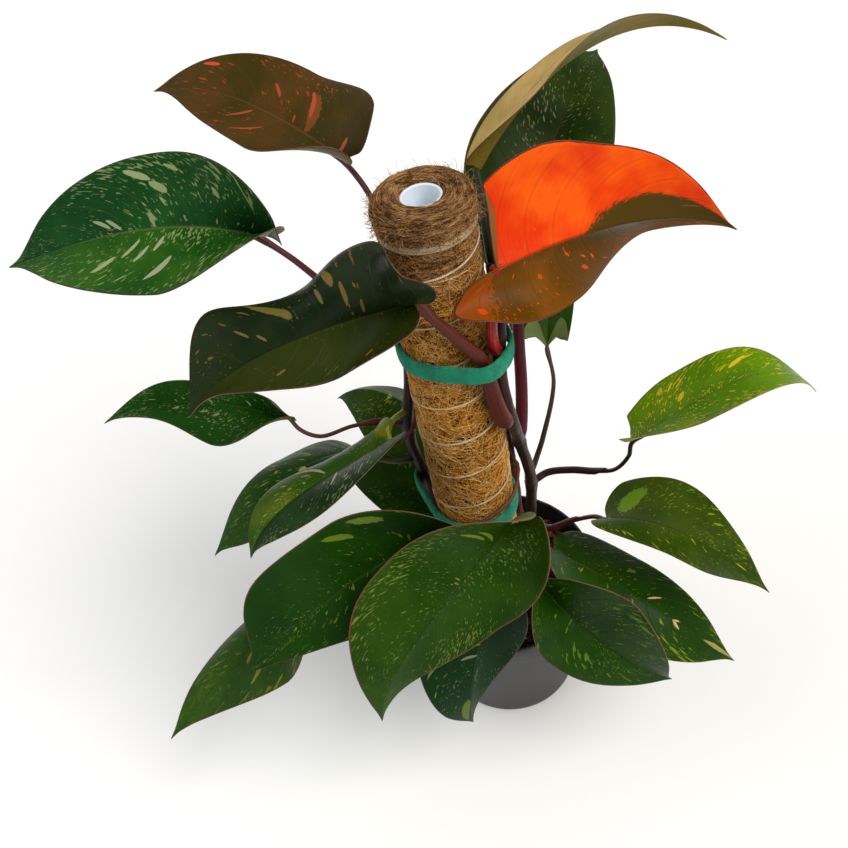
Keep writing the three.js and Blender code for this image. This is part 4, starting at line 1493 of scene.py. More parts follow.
class CoirPole:
    """The pole: plastic pipe, sleeve of coconut fibre and the thread wound round it."""

    def __init__(self) -> None:
        """Trace the sleeve's outline, from its foot over the top to the pipe."""
        self.random = np.random.default_rng(38)
        outline = [(COIR_R, COIR_BOTTOM)]
        for z in np.arange(COIR_BOTTOM + 4, COIR_TOP - 16, 2.0):
            turn = (z - THREAD_START) / THREAD_PITCH
            near = abs(turn - round(turn)) * THREAD_PITCH if turn > -0.5 else 19.0
            outline.append((COIR_R + 1.3 - 1.2 * math.exp(-(near / 5.0) ** 2), float(z)))
        inner = PIPE_R + 0.6
        outline += [
            (COIR_R + 1.6, COIR_TOP - 15), (COIR_R + 2.2, COIR_TOP - 10), (COIR_R + 2.2, COIR_TOP - 6),
            (COIR_R + 1.2, COIR_TOP - 2.6), (COIR_R - 1.0, COIR_TOP - 0.4), (COIR_R - 4, COIR_TOP + 0.9),
            (COIR_R - 8, COIR_TOP + 1.0), (inner + 3, COIR_TOP + 0.3), (inner + 1, COIR_TOP - 0.6),
            (inner, COIR_TOP - 2.5), (inner, COIR_TOP - 12),
        ]
        self.outline = np.array(outline)
        steps = np.linalg.norm(np.diff(self.outline, axis=0), axis=1)
        self.reach = np.concatenate([[0.0], np.cumsum(steps)])
        self.rim = self.along(COIR_TOP - 8)

    def along(self, z: float) -> float:
        """Return the distance along the outline at a height of its side."""
        last = int(np.argmax(self.outline[:, 1] > COIR_TOP - 6))
        return float(np.interp(z, self.outline[:last, 1], self.reach[:last]))

    def surface(self, around: np.ndarray, w: np.ndarray, lift: np.ndarray) -> np.ndarray:
        """Place points on or above the sleeve.

        Args:
            around: angles about the pole.
            w: distances along the outline.
            lift: heights above the sleeve.

        Returns:
            Points in millimetres, one to a row.
        """
        r = np.interp(w, self.reach, self.outline[:, 0])
        z = np.interp(w, self.reach, self.outline[:, 1])
        dr = np.interp(w + 1, self.reach, self.outline[:, 0]) - np.interp(
            w - 1, self.reach, self.outline[:, 0]
        )
        dz = np.interp(w + 1, self.reach, self.outline[:, 1]) - np.interp(
            w - 1, self.reach, self.outline[:, 1]
        )
        size = np.maximum(np.hypot(dr, dz), 1e-6)
        r = r + lift * dz / size
        z = z - lift * dr / size
        return np.stack([POLE.x + r * np.cos(around), POLE.y + r * np.sin(around), z], axis=1)

    def pipe(self) -> bpy.types.Object:
        """Spin the open pipe with its rounded upper edge.

        Returns:
            The new object.
        """
        inner, low = PIPE_R - PIPE_WALL, 2.3
        profile = [
            (inner, low), (PIPE_R, low), (PIPE_R, PIPE_TOP - 0.7), (PIPE_R - 0.3, PIPE_TOP - 0.1),
            (PIPE_R - 0.8, PIPE_TOP), (inner + 0.6, PIPE_TOP), (inner + 0.15, PIPE_TOP - 0.3),
            (inner, PIPE_TOP - 0.9), (inner, 400.0), (inner, 300.0), (inner, 200.0), (inner, 100.0),
        ]
        bm = spun(profile, POLE, 72, closed=True)
        finish = PlasticFinish("white_pipe", "dfe9f2", "b9c6d2", gloss=0.35, dust=0.05)
        return SHOP.finish("pipe_wall", bm, [finish.shell()], "pipe", ["pole_pipe"])

    def core(self) -> bpy.types.Object:
        """Make the matted body of the sleeve, its dark colour partly the coir's own and partly painted shade
        for the gaps between the fibres.

        Returns:
            The new object.
        """
        inner = PIPE_R + 0.6
        profile = [(r - 0.7, z - (0.5 if z > COIR_TOP - 3 else 0.0)) for r, z in self.outline]
        profile += [(inner - 0.4, 300.0), (inner - 0.4, COIR_BOTTOM)]
        bm = spun(profile, POLE, 128, closed=True)
        for vert in bm.verts:
            away = (vert.co / MM - POLE) * Vector((1, 1, 0))
            if away.length < inner + 0.5:
                continue
            spot = Vector((vert.co.x * 300, vert.co.y * 300, vert.co.z * 900))
            lump = noise.fractal(spot, 0.8, 2.1, 4)
            vert.co += away.normalized() * (0.55 * lump * MM)
        # Dark brown: partly the coir's own colour, partly painted shade that shows in the gaps between the
        # loose fibres.
        finish = CoirFinish("coir_matted_painted_gap_shade", "6a420e", "342006", stretch=3.0)
        return SHOP.finish("coir_core", bm, [finish.fibre()], "coir", ["coir_sleeve"])

    def fibre(
        self, low: float, high: float, heading: float, curl: float, length: float, lift: float,
        points: int = 8,
    ) -> np.ndarray:
        """Lay one fibre on the sleeve.

        Args:
            low: lowest start along the outline.
            high: highest start along the outline.
            heading: how far it may stray from running round the pole, in radians.
            curl: how strongly it bends.
            length: its length.
            lift: how far its middle stands off.
            points: points along it.

        Returns:
            The points in millimetres.
        """
        rng = self.random
        step = length / (points - 1)
        course = rng.normal(0, heading) + (math.pi if rng.random() < 0.5 else 0.0)
        turn = rng.normal(0, curl) * step
        around, w = rng.uniform(0, 2 * math.pi), rng.uniform(low, high)
        arounds, ws = [], []
        for _ in range(points):
            arounds.append(around)
            ws.append(w)
            r = max(float(np.interp(w, self.reach, self.outline[:, 0])), PIPE_R)
            around += step * math.cos(course) / r
            w = min(max(w + step * math.sin(course), low - 6), high + 6)
            course += turn + rng.normal(0, curl * 0.5) * step
        share = np.linspace(0, 1, points)
        raised = lift * np.sin(math.pi * share) + rng.uniform(-0.1, 0.5)
        return self.surface(np.array(arounds), np.array(ws), raised)

    def lot(
        self, name: str, count: int, low: float, high: float, heading: float, curl: float,
        length: tuple[float, float], radius: tuple[float, float], finish: CoirFinish,
        lift: float = 0.7,
    ) -> bpy.types.Object:
        """Lay one lot of fibres.

        Args:
            name: the piece's name.
            count: how many.
            low: lowest start along the outline.
            high: highest start along the outline.
            heading: how far they stray from running round the pole.
            curl: how strongly they bend.
            length: shortest and longest.
            radius: thinnest and thickest.
            finish: their colour.
            lift: how far their middles stand off.

        Returns:
            The new object.
        """
        rng = self.random
        paths = [
            self.fibre(low, high, heading, curl, rng.uniform(*length), rng.uniform(0, lift))
            for _ in range(count)
        ]
        radii = rng.uniform(radius[0], radius[1], count)
        return SHOP.strands(name, paths, radii, finish.fibre(), "coir", ["coir_sleeve"])

    def frayed(self, finish: CoirFinish) -> bpy.types.Object:
        """Make the loose ends that stand out from the rim and the sides.

        Args:
            finish: their colour.

        Returns:
            The new object.
        """
        rng = self.random
        paths, radii = [], []
        for number in range(1500):
            rim = number < 950
            w = self.rim + rng.normal(-2, 7) if rim else rng.uniform(self.along(128), self.rim)
            around = rng.uniform(0, 2 * math.pi)
            root = self.surface(np.array([around]), np.array([w]), np.array([-0.3]))[0]
            out = np.array([math.cos(around), math.sin(around), 0.0])
            course = out * rng.uniform(0.3, 1.0) + rng.normal(0, 0.6, 3)
            if rim:
                course[2] += rng.uniform(-0.3, 0.5)
            length = rng.uniform(3, 9) if rim else rng.uniform(2, 5.5)
            bend = rng.normal(0, 0.5, 3)
            spots = [root]
            for _ in range(4):
                course = course / np.linalg.norm(course)
                spots.append(spots[-1] + course * length / 4)
                course = course + bend * 0.5
            paths.append(np.array(spots))
            radii.append(rng.uniform(0.08, 0.16))
        return SHOP.strands("coir_frayed_ends", paths, radii, finish.fibre(), "coir", ["coir_sleeve"])

    def thread(self) -> bpy.types.Object:
        """Wind the pale thread round the sleeve.

        Returns:
            The new object.
        """
        path = []
        for i in range(THREAD_TURNS * 40 + 1):
            angle = 2 * math.pi * i / 40
            z = THREAD_START + THREAD_PITCH * i / 40
            r = COIR_R + 2.0 + 0.12 * math.sin(angle * 3.7)
            path.append((POLE.x + r * math.cos(angle), POLE.y + r * math.sin(angle), z))
        neck = []
        for i in range(6 * 40 + 1):
            angle = 2 * math.pi * i / 40
            r = COIR_R + 2.0 + 0.15 * math.sin(angle * 1.7)
            neck.append((POLE.x + r * math.cos(angle), POLE.y + r * math.sin(angle), 489 + 0.02 * i))
        bm = bmesh.new()
        Bar(path, lambda share, angle: 0.6, sides=8, rings=900).build(bm)
        Bar(neck, lambda share, angle: 0.35, sides=6, rings=480).build(bm)
        return SHOP.finish(
            "thread_winding", bm, [ThreadFinish().strand()], "thread", ["binding_thread"]
        )

    def build(self) -> None:
        """Make every piece of the pole."""
        self.pipe()
        self.core()
        gold = CoirFinish("coir_gold", "f0ac3a", "b87018")
        pale = CoirFinish("coir_pale", "f8dc98", "dca650")
        brown = CoirFinish("coir_brown", "74460f", "402408")
        grey = CoirFinish("coir_grey", "c49a68", "7a542e")
        dull = CoirFinish("coir_dull", "8a5c2e", "462c12")
        foot, neck, rim = self.along(118), self.along(463), self.rim
        self.lot("coir_fibres_brown", 800, foot, neck, 1.2, 0.07, (18, 50), (0.14, 0.24), brown)
        self.lot("coir_fibres_gold", 3600, foot, neck, 1.2, 0.09, (18, 60), (0.1, 0.19), gold, 0.8)
        self.lot("coir_fibres_pale", 1300, foot, neck, 1.2, 0.05, (40, 90), (0.09, 0.16), pale, 1.4)
        self.lot("coir_neck_dull", 1000, neck - 8, rim, 0.45, 0.04, (22, 60), (0.13, 0.24), dull)
        self.lot("coir_neck_grey", 800, neck - 4, rim, 0.5, 0.04, (22, 60), (0.13, 0.24), grey)
        self.lot("coir_neck_gold", 260, neck - 8, rim, 0.9, 0.06, (20, 50), (0.12, 0.22), gold)
        top = float(self.reach[-3])
        self.lot("coir_top_grey", 620, rim, top, 0.14, 0.012, (20, 50), (0.13, 0.26), grey, 1.1)
        self.lot("coir_top_dull", 700, rim, top, 0.16, 0.012, (20, 46), (0.12, 0.24), dull, 1.1)
        self.frayed(grey)
        self.thread()


def spun(
    profile: Sequence[tuple[float, float]], centre: Vector, steps: int, closed: bool = False
) -> bmesh.types.BMesh:
    """Spin a profile about an upright axis.

    Args:
        profile: radius and height of each corner, in millimetres.
        centre: a point of the axis.
        steps: faces round the axis.
        closed: whether the profile's ends join.

    Returns:
        The spun bmesh, in metres, facing out.
    """
    bm = bmesh.new()
    corners = [bm.verts.new((centre + Vector((r, 0, z))) * MM) for r, z in profile]
    edges = [bm.edges.new(pair) for pair in zip(corners, corners[1:])]
    if closed:
        edges.append(bm.edges.new((corners[-1], corners[0])))
    bmesh.ops.spin(
        bm, geom=corners + edges, cent=centre * MM, axis=(0, 0, 1), angle=2 * math.pi,
        steps=steps, use_merge=True, use_duplicate=False,
    )
    bmesh.ops.remove_doubles(bm, verts=bm.verts, dist=0.000005)
    bmesh.ops.recalc_face_normals(bm, faces=bm.faces)
    return bm


@dataclass
class Tie:
    """A felt band drawn tight round the pole and what it holds.

    Attributes:
        node: the solid that it stands for.
        circles: x, y and radius of each round thing that it goes round.
        z: height of its lower edge.
        height: how tall the band is.
        thick: how thick it is.
    """

    node: str
    circles: tuple[Point, ...]
    z: float
    height: float = 14.0
    thick: float = 3.6

    def route(self) -> list[Point]:
        """Return the loop that the band's middle follows."""
        traced = []
        for i in range(180):
            angle = 2 * math.pi * i / 180
            dx, dy = math.cos(angle), math.sin(angle)
            x, y, r = max(self.circles, key=lambda c: c[0] * dx + c[1] * dy + c[2])
            traced.append(Vector((x + (r + 1.9) * dx, y + (r + 1.9) * dy, self.z + self.height / 2)))
        spline = Spline([*traced, traced[0]])
        loop = [spline.at(i / 240) for i in range(240)]
        for _ in range(110):
            loop = [
                (loop[i - 1] + loop[i] * 2 + loop[(i + 1) % len(loop)]) / 4 for i in range(len(loop))
            ]
        return [tuple(p) for p in loop]

    def build(self) -> None:
        """Make the band and its fine hairs."""
        route = self.route()
        half, thick = self.height / 2, self.thick / 2

        def radius(share: float, angle: float) -> float:
            """Return the rounded band's half size towards an angle, 0 being up."""
            tall = half * (1 + 0.05 * math.sin(share * 37) + 0.04 * math.sin(share * 91))
            c, s = abs(math.cos(angle)), abs(math.sin(angle))
            size = ((c / tall) ** 3.2 + (s / thick) ** 3.2) ** (-1 / 3.2)
            fuzz = noise.noise(Vector((share * 160, math.cos(angle) * 5, math.sin(angle) * 5)))
            return size * (1 + 0.05 * fuzz)

        band = Bar([*route, route[0]], radius, sides=28, rings=len(route), closed=True)
        bm = bmesh.new()
        band.build(bm)
        finish = FeltFinish(self.node + "_felt")
        SHOP.finish(self.node + "_band", bm, [finish.felt()], "felt", [self.node])
        rng = np.random.default_rng(int(self.z))
        frames = band.frames()
        paths = []
        for _ in range(1800):
            index = int(rng.integers(len(frames)))
            centre, upward, sideways = frames[index]
            angle = float(rng.uniform(0, 2 * math.pi))
            r = radius(index / len(frames), angle)
            out = upward * math.cos(angle) + sideways * math.sin(angle)
            root = np.array(centre + out * (r - 0.1))
            stray = rng.normal(0, 0.55, 3)
            way = np.array(out) + stray
            spots = [root]
            for _ in range(3):
                way = way / np.linalg.norm(way)
                spots.append(spots[-1] + way * rng.uniform(0.2, 0.42))
                way = way + rng.normal(0, 0.5, 3)
            paths.append(np.array(spots))
        SHOP.strands(
            self.node + "_fuzz", paths, [0.05] * len(paths), finish.felt(), "felt", [self.node]
        )


class Pot:
    """Black nursery pot: tapered wall, stepped rim, foot ring and drain holes."""

    HEIGHT = 140.0
    BASE_R = 58.0
    RIM_R = 80.0
    WALL = 1.5
    BAND = 18.0

    def build(self) -> bpy.types.Object:
        """Spin the pot and drill it.

        Returns:
            The new object.
        """
        high, band, wall = self.HEIGHT, self.HEIGHT - self.BAND, self.RIM_R - 3
        profile = [
            (0, 2.0), (22, 2.0), (23, 1.2), (34, 1.2), (35, 2.0), (49, 2.0), (50.5, 0.4), (51.5, 0.0),
            (55.6, 0.0), (57.0, 0.4), (57.9, 1.6),
        ]
        for z in np.arange(8, band - 4, 6.0):
            profile.append((self.BASE_R + (wall - self.BASE_R) * (z - 2) / (band - 2), float(z)))
        profile += [
            (wall - 0.2, band - 1.2), (wall + 0.2, band - 0.2), (wall + 1.2, band + 0.5),
            (self.RIM_R - 0.8, band + 1.2), (self.RIM_R - 0.1, band + 2.2),
            (self.RIM_R, high - 2.2), (self.RIM_R - 0.3, high - 0.9), (self.RIM_R - 1.0, high - 0.1),
            (self.RIM_R - 1.7, high - 0.1), (self.RIM_R - 2.3, high - 0.7),
            (self.RIM_R - 2.6, high - 1.8), (self.RIM_R - 2.6, band + 3.4), (wall - 1.7, band + 0.4),
            (self.BASE_R - self.WALL, 4.0), (self.BASE_R - self.WALL - 0.8, 3.1), (0, 3.1),
        ]
        bm = spun(profile, Vector((0, 0, 0)), 144)
        for vert in bm.verts:
            away = Vector((vert.co.x, vert.co.y, 0))
            if away.length > 0.05 and 0.006 < vert.co.z < 0.118:
                angle = math.atan2(away.y, away.x)
                vert.co += away.normalized() * (0.25 * MM * math.sin(angle * 3 + vert.co.z * 30))
        finish = PlasticFinish("black_pot", "161617", "343230", gloss=0.48, dust=0.3)
        piece = SHOP.finish("pot_shell", bm, [finish.shell()], "pot", ["pot"])
        drill = bmesh.new()
        for i in range(8):
            spot = Matrix.Rotation(2 * math.pi * i / 8, 4, "Z") @ Matrix.Translation(
                (42 * MM, 0, 2 * MM)
            )
            bmesh.ops.create_cone(
                drill, cap_ends=True, segments=28, radius1=5 * MM, radius2=5 * MM, depth=12 * MM,
                matrix=spot,
            )
        cutter_mesh = bpy.data.meshes.new("drill")
        drill.to_mesh(cutter_mesh)
        drill.free()
        cutter = bpy.data.objects.new("drill", cutter_mesh)
        bpy.context.scene.collection.objects.link(cutter)
        holes = piece.modifiers.new("holes", "BOOLEAN")
        holes.operation, holes.solver, holes.object = "DIFFERENCE", "EXACT", cutter
        graph = bpy.context.evaluated_depsgraph_get()
        drilled = bpy.data.meshes.new_from_object(piece.evaluated_get(graph))
        piece.modifiers.clear()
        piece.data = drilled
        bpy.data.objects.remove(cutter)
        return piece


class Soil:
    """Potting mix with bark chips and grit on its top."""

    def __init__(self) -> None:
        """Start the repeatable scatter."""
        self.random = np.random.default_rng(125)

    def height(self, x: float, y: float) -> float:
        """Return the height of the top at a place, in millimetres."""
        r = math.hypot(x, y)
        level = SOIL_TOP + 1.5 - 1.5 * smoothstep(r, 20, 60) - 8 * smoothstep(r, 70, 75.5)
        lump = noise.fractal(Vector((x * 0.09, y * 0.09, 1.7)), 0.9, 2.0, 5)
        return level + 1.7 * lump

    def bed(self) -> bpy.types.Object:
        """Make the body of the soil with its crumbly top.

        Returns:
            The new object.
        """
        top = [(float(r), SOIL_TOP) for r in np.arange(0, 76, 1.6)]
        profile = [(0, 3.6), (55.6, 3.6), (66, 60.0), (75.2, 113.0), *reversed(top)]
        bm = spun(profile, Vector((0, 0, 0)), 180)
        for vert in bm.verts:
            if vert.co.z > 0.12:
                x, y = vert.co.x / MM, vert.co.y / MM
                vert.co.z = self.height(x, y) * MM
        finish = SoilFinish("potting_mix", "4a3423", "2b1d14")
        return SHOP.finish("soil_bed", bm, [finish.crumb()], "soil", ["soil"])

    def scatter(
        self, name: str, count: int, size: tuple[float, float], flat: float, finish: SoilFinish
    ) -> bpy.types.Object:
        """Strew chips or grit over the top.

        Args:
            name: the piece's name.
            count: how many.
            size: smallest and largest half length.
            flat: thickness as a share of the length.
            finish: their colour.

        Returns:
            The new object.
        """
        rng = self.random
        bm = bmesh.new()
        for _ in range(count):
            r, angle = 74 * math.sqrt(rng.uniform(0, 1)), rng.uniform(0, 2 * math.pi)
            x, y = r * math.cos(angle), r * math.sin(angle)
            if math.hypot(x - POLE.x, y - POLE.y) < COIR_R + 4:
                continue
            long = rng.uniform(*size)
            turn = Matrix.Rotation(rng.uniform(0, 6.28), 4, "Z") @ Matrix.Rotation(
                rng.normal(0, 0.35), 4, "X"
            ) @ Matrix.Rotation(rng.normal(0, 0.35), 4, "Y")
            spot = Matrix.Translation(Vector((x, y, self.height(x, y) + long * flat * 0.6)) * MM)
            shape = Matrix.Diagonal((long * MM, long * MM * rng.uniform(0.45, 0.8), long * flat * MM, 1))
            verts = bmesh.ops.create_icosphere(
                bm, subdivisions=1, radius=1.0, matrix=spot @ turn @ shape
            )["verts"]
            for vert in verts:
                vert.co += Vector(rng.normal(0, 0.12, 3)) * (long * flat * MM)
        return SHOP.finish(name, bm, [finish.crumb()], "soil", ["soil"], smooth=False)

    def build(self) -> None:
        """Make the bed and what lies on it."""
        self.bed()
        bark = SoilFinish("bark_chips", "7a4f2d", "4c2f1a", scale=180.0)
        self.scatter("soil_bark", 420, (2.0, 5.0), 0.28, bark)
        self.scatter("soil_crumbs", 900, (0.8, 1.9), 0.7, SoilFinish("crumbs", "3a281b", "231710"))
        self.scatter("soil_grit", 150, (0.7, 1.6), 0.8, SoilFinish("white_grit", "d6d0c4", "a89f90"))


# The plant

LOW_STALK = ("3f3a20", "4f4a26", "6a5a34")
LEAVES = (
    LeafPlan(
        "leaf_back_left_top",
        path=((-27, 38, 428), (-31, 52, 455), (-36, 66, 473), (-42, 77, 483)),
        r=(3, 1.9), joint=(-48, 90, 488), tip=(-164, 174, 520), width=85, arch=0.08, side=0.05, peak=0.4,
        roll=-10, twist=25, fold=(-20, 15, 30, -5), asym=0.1, lobe=(0.7, 0.7), pinch=(50, 50),
        swell=((-0.3, 0, 0), (0, 0, 0)),
        finish=LeafFinish(
            "olive_coral", "38300a", "4c3410", "9c4424", amount=0.34, pins=0.34, seed=2.0,
            patches=(
                Patch("70401c", 0.49, 0.32, 0.016, 0.3, 1.1), Patch("a8442e", 0.505, 0.42, 0.006, 0.2, 1.0),
                Patch("c04a30", 0.75, 0.85, 0.012, 0.07, 1.0), Patch("a04428", 0.6, 0.4, 0.005, 0.1, 0.8),
                Patch("a85440", 0.34, 0.2, 0.009, 0.14, 1.0), Patch("9c4424", 0.66, -0.3, 0.005, 0.2, 0.9),
                Patch("9c4424", 0.6, -0.55, 0.004, 0.22, 0.9),
            ),
            under="75643a", under_tone="5f4f28", margin="4a2a22", rib="5d4022",
        ),
        stalk=StalkFinish(
            "stalk_plum", "4f2026", "5a2a2c", "8a4a3c", sheath=0.35, sheath_colour="3f1a22", seed=3.0,
        ),
    ),
    LeafPlan(
        "leaf_left_upper",
        path=((-33.5, 33, 372), (-54, 37, 402), (-76, 42, 430), (-94, 45, 456)),
        r=(3, 2), joint=(-110, 48, 474), tip=(-267, 65, 479), width=99, arch=0.11, side=-0.03, peak=-0.3,
        roll=35, twist=15, fold=(30, 30, 15, 25), asym=-0.11, lobe=(0.7, 0.7), pinch=(45, 75),
        swell=((-0.2, 0, 0), (0, 0, 0.1)),
        finish=LeafFinish(
            "deep_green_cream", "18450f", "2a560f", "84915e", amount=0.5, pins=0.62, seed=5.0,
            right="133d18", right_tone="1b4a1d",
            patches=(
                Patch("8e9870", 0.575, 0.76, 0.01, 0.1, 0.5), Patch("849266", 0.55, 0.56, 0.011, 0.09, 0.5),
                Patch("83935f", 0.52, 0.8, 0.006, 0.05, 0.4), Patch("8c9573", 0.7, 0.24, 0.006, 0.12, 0.4),
                Patch("8c9573", 0.68, 0.17, 0.006, 0.12, 0.4), Patch("909874", 0.55, -0.62, 0.008, 0.16, 0.4),
                Patch("909874", 0.67, -0.58, 0.007, 0.14, 0.5), Patch("83935f", 0.45, 0.55, 0.005, 0.07, 0.4),
                Patch("909874", 0.6, -0.4, 0.005, 0.13, 0.5), Patch("909874", 0.63, -0.32, 0.005, 0.15, 0.5),
                Patch("909874", 0.57, -0.25, 0.005, 0.11, 0.5),
            ),
            under="a39c7c", under_tone="7e8354", margin="3c2c1e", rib="535f34", breadth=95.0,
        ),
        stalk=StalkFinish("stalk_maroon", "4a1c22", "5c2e2b", "7d4a42", seed=6.0),
    ),
    LeafPlan(
        "leaf_front_left_dark",
        path=((21, -23, 336), (17.3, -27.3, 347), (14.8, -29.2, 361), (12.6, -31.2, 379), (11, -32.2, 394),
              (8, -33.6, 409), (2.6, -35.6, 419.5), (-4, -36.8, 430.5), (-10, -37, 441), (-16, -37, 450)),
        r=(6.5, 3.2), joint=(-25, -40, 466), tip=(-165, -52, 430), width=93, arch=0.04, side=0.08,
        peak=0.9, roll=95, twist=-90, fold=(15, 45, 25, -35), asym=0.2, lobe=(0.3, 0.9), pinch=(70, 30),
        swell=((-0.1, -0.12, 0), (0, 0, 0)),
        push=(
            (1, 0.3, -10, 0, -10), (1, 0.5, -25, -10, 5), (1, 0.65, -25, -15, -10),
            (1, 0.82, -15, 25, 5), (-1, 0.46, 10, -5, 0), (-1, 0.82, -5, 5, 5),
        ),
        finish=LeafFinish(
            "near_black_ochre", "1f2907", "2b320a", "705521", amount=0.2, pins=0.3, seed=8.0,
            right="11200e", right_tone="1c290f",
            patches=(
                Patch("645a23", 0.685, 0.68, 0.011, 0.3, 0.5), Patch("715a28", 0.57, 0.7, 0.009, 0.16, 0.6),
                Patch("6b5829", 0.52, 0.42, 0.006, 0.16, 0.6), Patch("66592e", 0.585, 0.5, 0.005, 0.14, 0.6),
                Patch("65522f", 0.47, 0.22, 0.005, 0.12, 0.6), Patch("705921", 0.68, -0.6, 0.006, 0.06, 0.5),
                Patch("86591d", 0.45, -0.76, 0.005, 0.05, 0.5), Patch("66592e", 0.76, 0.5, 0.004, 0.1, 0.5),
                Patch("66592e", 0.73, 0.3, 0.004, 0.09, 0.5),
            ),
            under="5d4a26", under_tone="463618", margin="4a2a24", rib="353c12", gloss=0.3,
        ),
        stalk=StalkFinish("stalk_salmon", "54160a", "603224", "200c08", gloss=0.4, seed=9.0),
    ),
    LeafPlan(
        "leaf_young_orange",
        path=((22, -21.5, 398), (18.5, -26.5, 410), (19, -27, 430), (25, -17, 450)),
        r=(4.2, 3), joint=(27, -21, 461), tip=(177, -4, 439), width=95, arch=0.08, side=-0.05, peak=0.3,
        roll=-35, twist=-90, fold=(-10, 25, -60, 30), asym=-0.1, lobe=(-0.4, 1.4), pinch=(20, 0),
        push=(
            (-1, 0.3, 5, 0, 5), (-1, 0.46, 15, 5, 10), (-1, 0.64, 5, 0, -10), (1, 0.14, 0, -5, 10),
            (1, 0.3, -15, -10, 10), (1, 0.46, -15, 0, 10), (1, 0.64, -5, 10, -5), (1, 0.82, -20, 10, 5),
        ),
        # The vivid orange is the young leaf's own colour, brightened with painted light shining through the
        # blade from behind.
        finish=LeafFinish(
            "orange_and_ochre_painted_backlight", "dc3406", "f25a08", "d8540c", amount=0.26, pins=0.35, seed=11.0,
            right="5a3802", right_tone="744404",
            patches=(
                Patch("4a380a", 0.95, -0.5, 0.25, 0.95, 0.4, -0.25),
                Patch("7a4c20", 0.8, -0.6, 0.004, 0.12, 0.7), Patch("6a2008", 0.17, -0.92, 0.14, 0.12, 0.5),
                Patch("8a4208", 0.2, 0.55, 0.14, 0.6, 1.1),
                Patch("b8480c", 0.58, 0.66, 0.006, 0.05, 1.4), Patch("b8480c", 0.47, 0.45, 0.005, 0.04, 1.4),
                Patch("c44a0c", 0.33, 0.82, 0.01, 0.06, 1.5), Patch("b84810", 0.23, 0.45, 0.009, 0.1, 1.4),
            ),
            under="8a5420", under_tone="74431a", margin="6a2418", rib="6a3008", gloss=0.42,
        ),
        stalk=StalkFinish("stalk_scarlet", "8c1418", "b02420", "d0483a", gloss=0.3, seed=12.0),
    ),
    LeafPlan(
        "leaf_top_folded",
        path=((28.5, 15, 437), (30, 35, 455), (33, 52, 467)),
        r=(3, 2), joint=(35, 62, 477), tip=(193, 71, 522), width=68, arch=0.2, side=-0.06, peak=0.2,
        roll=-10, twist=30, fold=(-5, -15, 55, 5), asym=0.01, lobe=(0, 0), pinch=(0, 35),
        swell=((-0.6, 0, 0.35), (-0.5, -0.1, -0.3)), flipped=True,
        finish=LeafFinish(
            "dark_green_orange_spots", "8a7430", "6f6a24", "a8681c", amount=0.3, pins=0.4, seed=14.0,
            under="c8a45c", under_tone="a88c44", margin="6a4a34", rib="8a7a3c",
        ),
        stalk=StalkFinish("stalk_olive", "142006", "8a7a3c", "2c3410", seed=15.0),
    ),
    LeafPlan(
        "leaf_back_right",
        path=((33, 9, 280), (37.5, 17, 300), (41.5, 29, 322), (44, 38, 350), (48, 48, 384)),
        r=(4.6, 1.8), joint=(51, 55, 418), tip=(145, 183, 477), width=91, arch=0.14, side=0.04, peak=0,
        roll=-15, twist=-30, fold=(0, 25, 35, -35), asym=0.05, lobe=(1.1, 1.1), pinch=(45, 35),
        swell=((0, 0.25, 0.1), (0, -0.05, 0)),
        finish=LeafFinish(
            "green_cream_dashes", "182d03", "263903", "838249", amount=0.42, pins=0.5, seed=17.0,
            under="6f7f45", margin="5a3426", rib="3f3a0c",
        ),
        stalk=StalkFinish(
            "stalk_dark_red", "3c1418", "4a2620", "6a3a30", sheath=0.62, sheath_colour="4f1620",
            seed=18.0,
        ),
    ),
    LeafPlan(
        "leaf_left_lower",
        path=((-45.5, 31, 300), (-62, 33, 306), (-84, 26, 315), (-107, 13, 325), (-119, 13, 336)),
        r=(2.6, 1.5), joint=(-125, 17, 346), tip=(-255, 45, 352), width=62, arch=0.06, side=0.08,
        peak=0.5, roll=40, twist=-25, fold=(25, 25, 25, 20), asym=-0.16, lobe=(0.7, 0.7), pinch=(55, 50),
        swell=((0, 0, -0.3), (0, -0.5, -0.1)),
        finish=LeafFinish(
            "green_cream_edge", "13400a", "1d4e0d", "a0a070", amount=0.36, pins=0.5, seed=20.0,
            patches=(
                Patch("afa772", 0.36, 0.8, 0.03, 0.22, 0.5), Patch("949e70", 0.62, 0.1, 0.005, 0.15, 0.4),
                Patch("949e70", 0.48, 0.28, 0.004, 0.14, 0.4),
            ),
            margin="4a3424", rib="3c5318",
        ),
        stalk=StalkFinish(
            "stalk_red_brown", "4a2426", "6a5a34", "8a5a48", sheath=0.3, sheath_colour="5a2a2c",
            seed=21.0,
        ),
    ),
    LeafPlan(
        "leaf_inner_left_upper",
        path=((-40, 33, 220), (-36, 46, 232), (-29, 59, 241)),
        r=(2.4, 1.6), joint=(-22, 69, 246), tip=(-100, 120, 256), width=78, arch=0.25, side=0.01,
        peak=0.2, roll=-15, twist=10, fold=(-35, -30, -25, -25), asym=-0.16, lobe=(1, 1), pinch=(30, 40),
        finish=LeafFinish(
            "mid_green_streaks", "1e3905", "2c4607", "7a862c", amount=0.4, pins=0.4, seed=23.0,
            patches=(Patch("8fa832", 0.65, 0.03, 0.01, 0.12, 0.7),), margin="4a3422", rib="394613",
        ),
        stalk=StalkFinish("stalk_brown", "4f3428", "5f4a30", "7a6040", seed=24.0),
    ),
    LeafPlan(
        "leaf_left_middle_back",
        path=((-44, 33, 258), (-62, 29, 265), (-80, 37, 267)),
        r=(2.4, 1.6), joint=(-94, 50, 265), tip=(-208, -9, 247), width=78, arch=0.24, side=-0.06,
        peak=-0.1, roll=-10, twist=15, fold=(-10, 25, 0, -30), asym=-0.18, lobe=(0.7, 0.7),
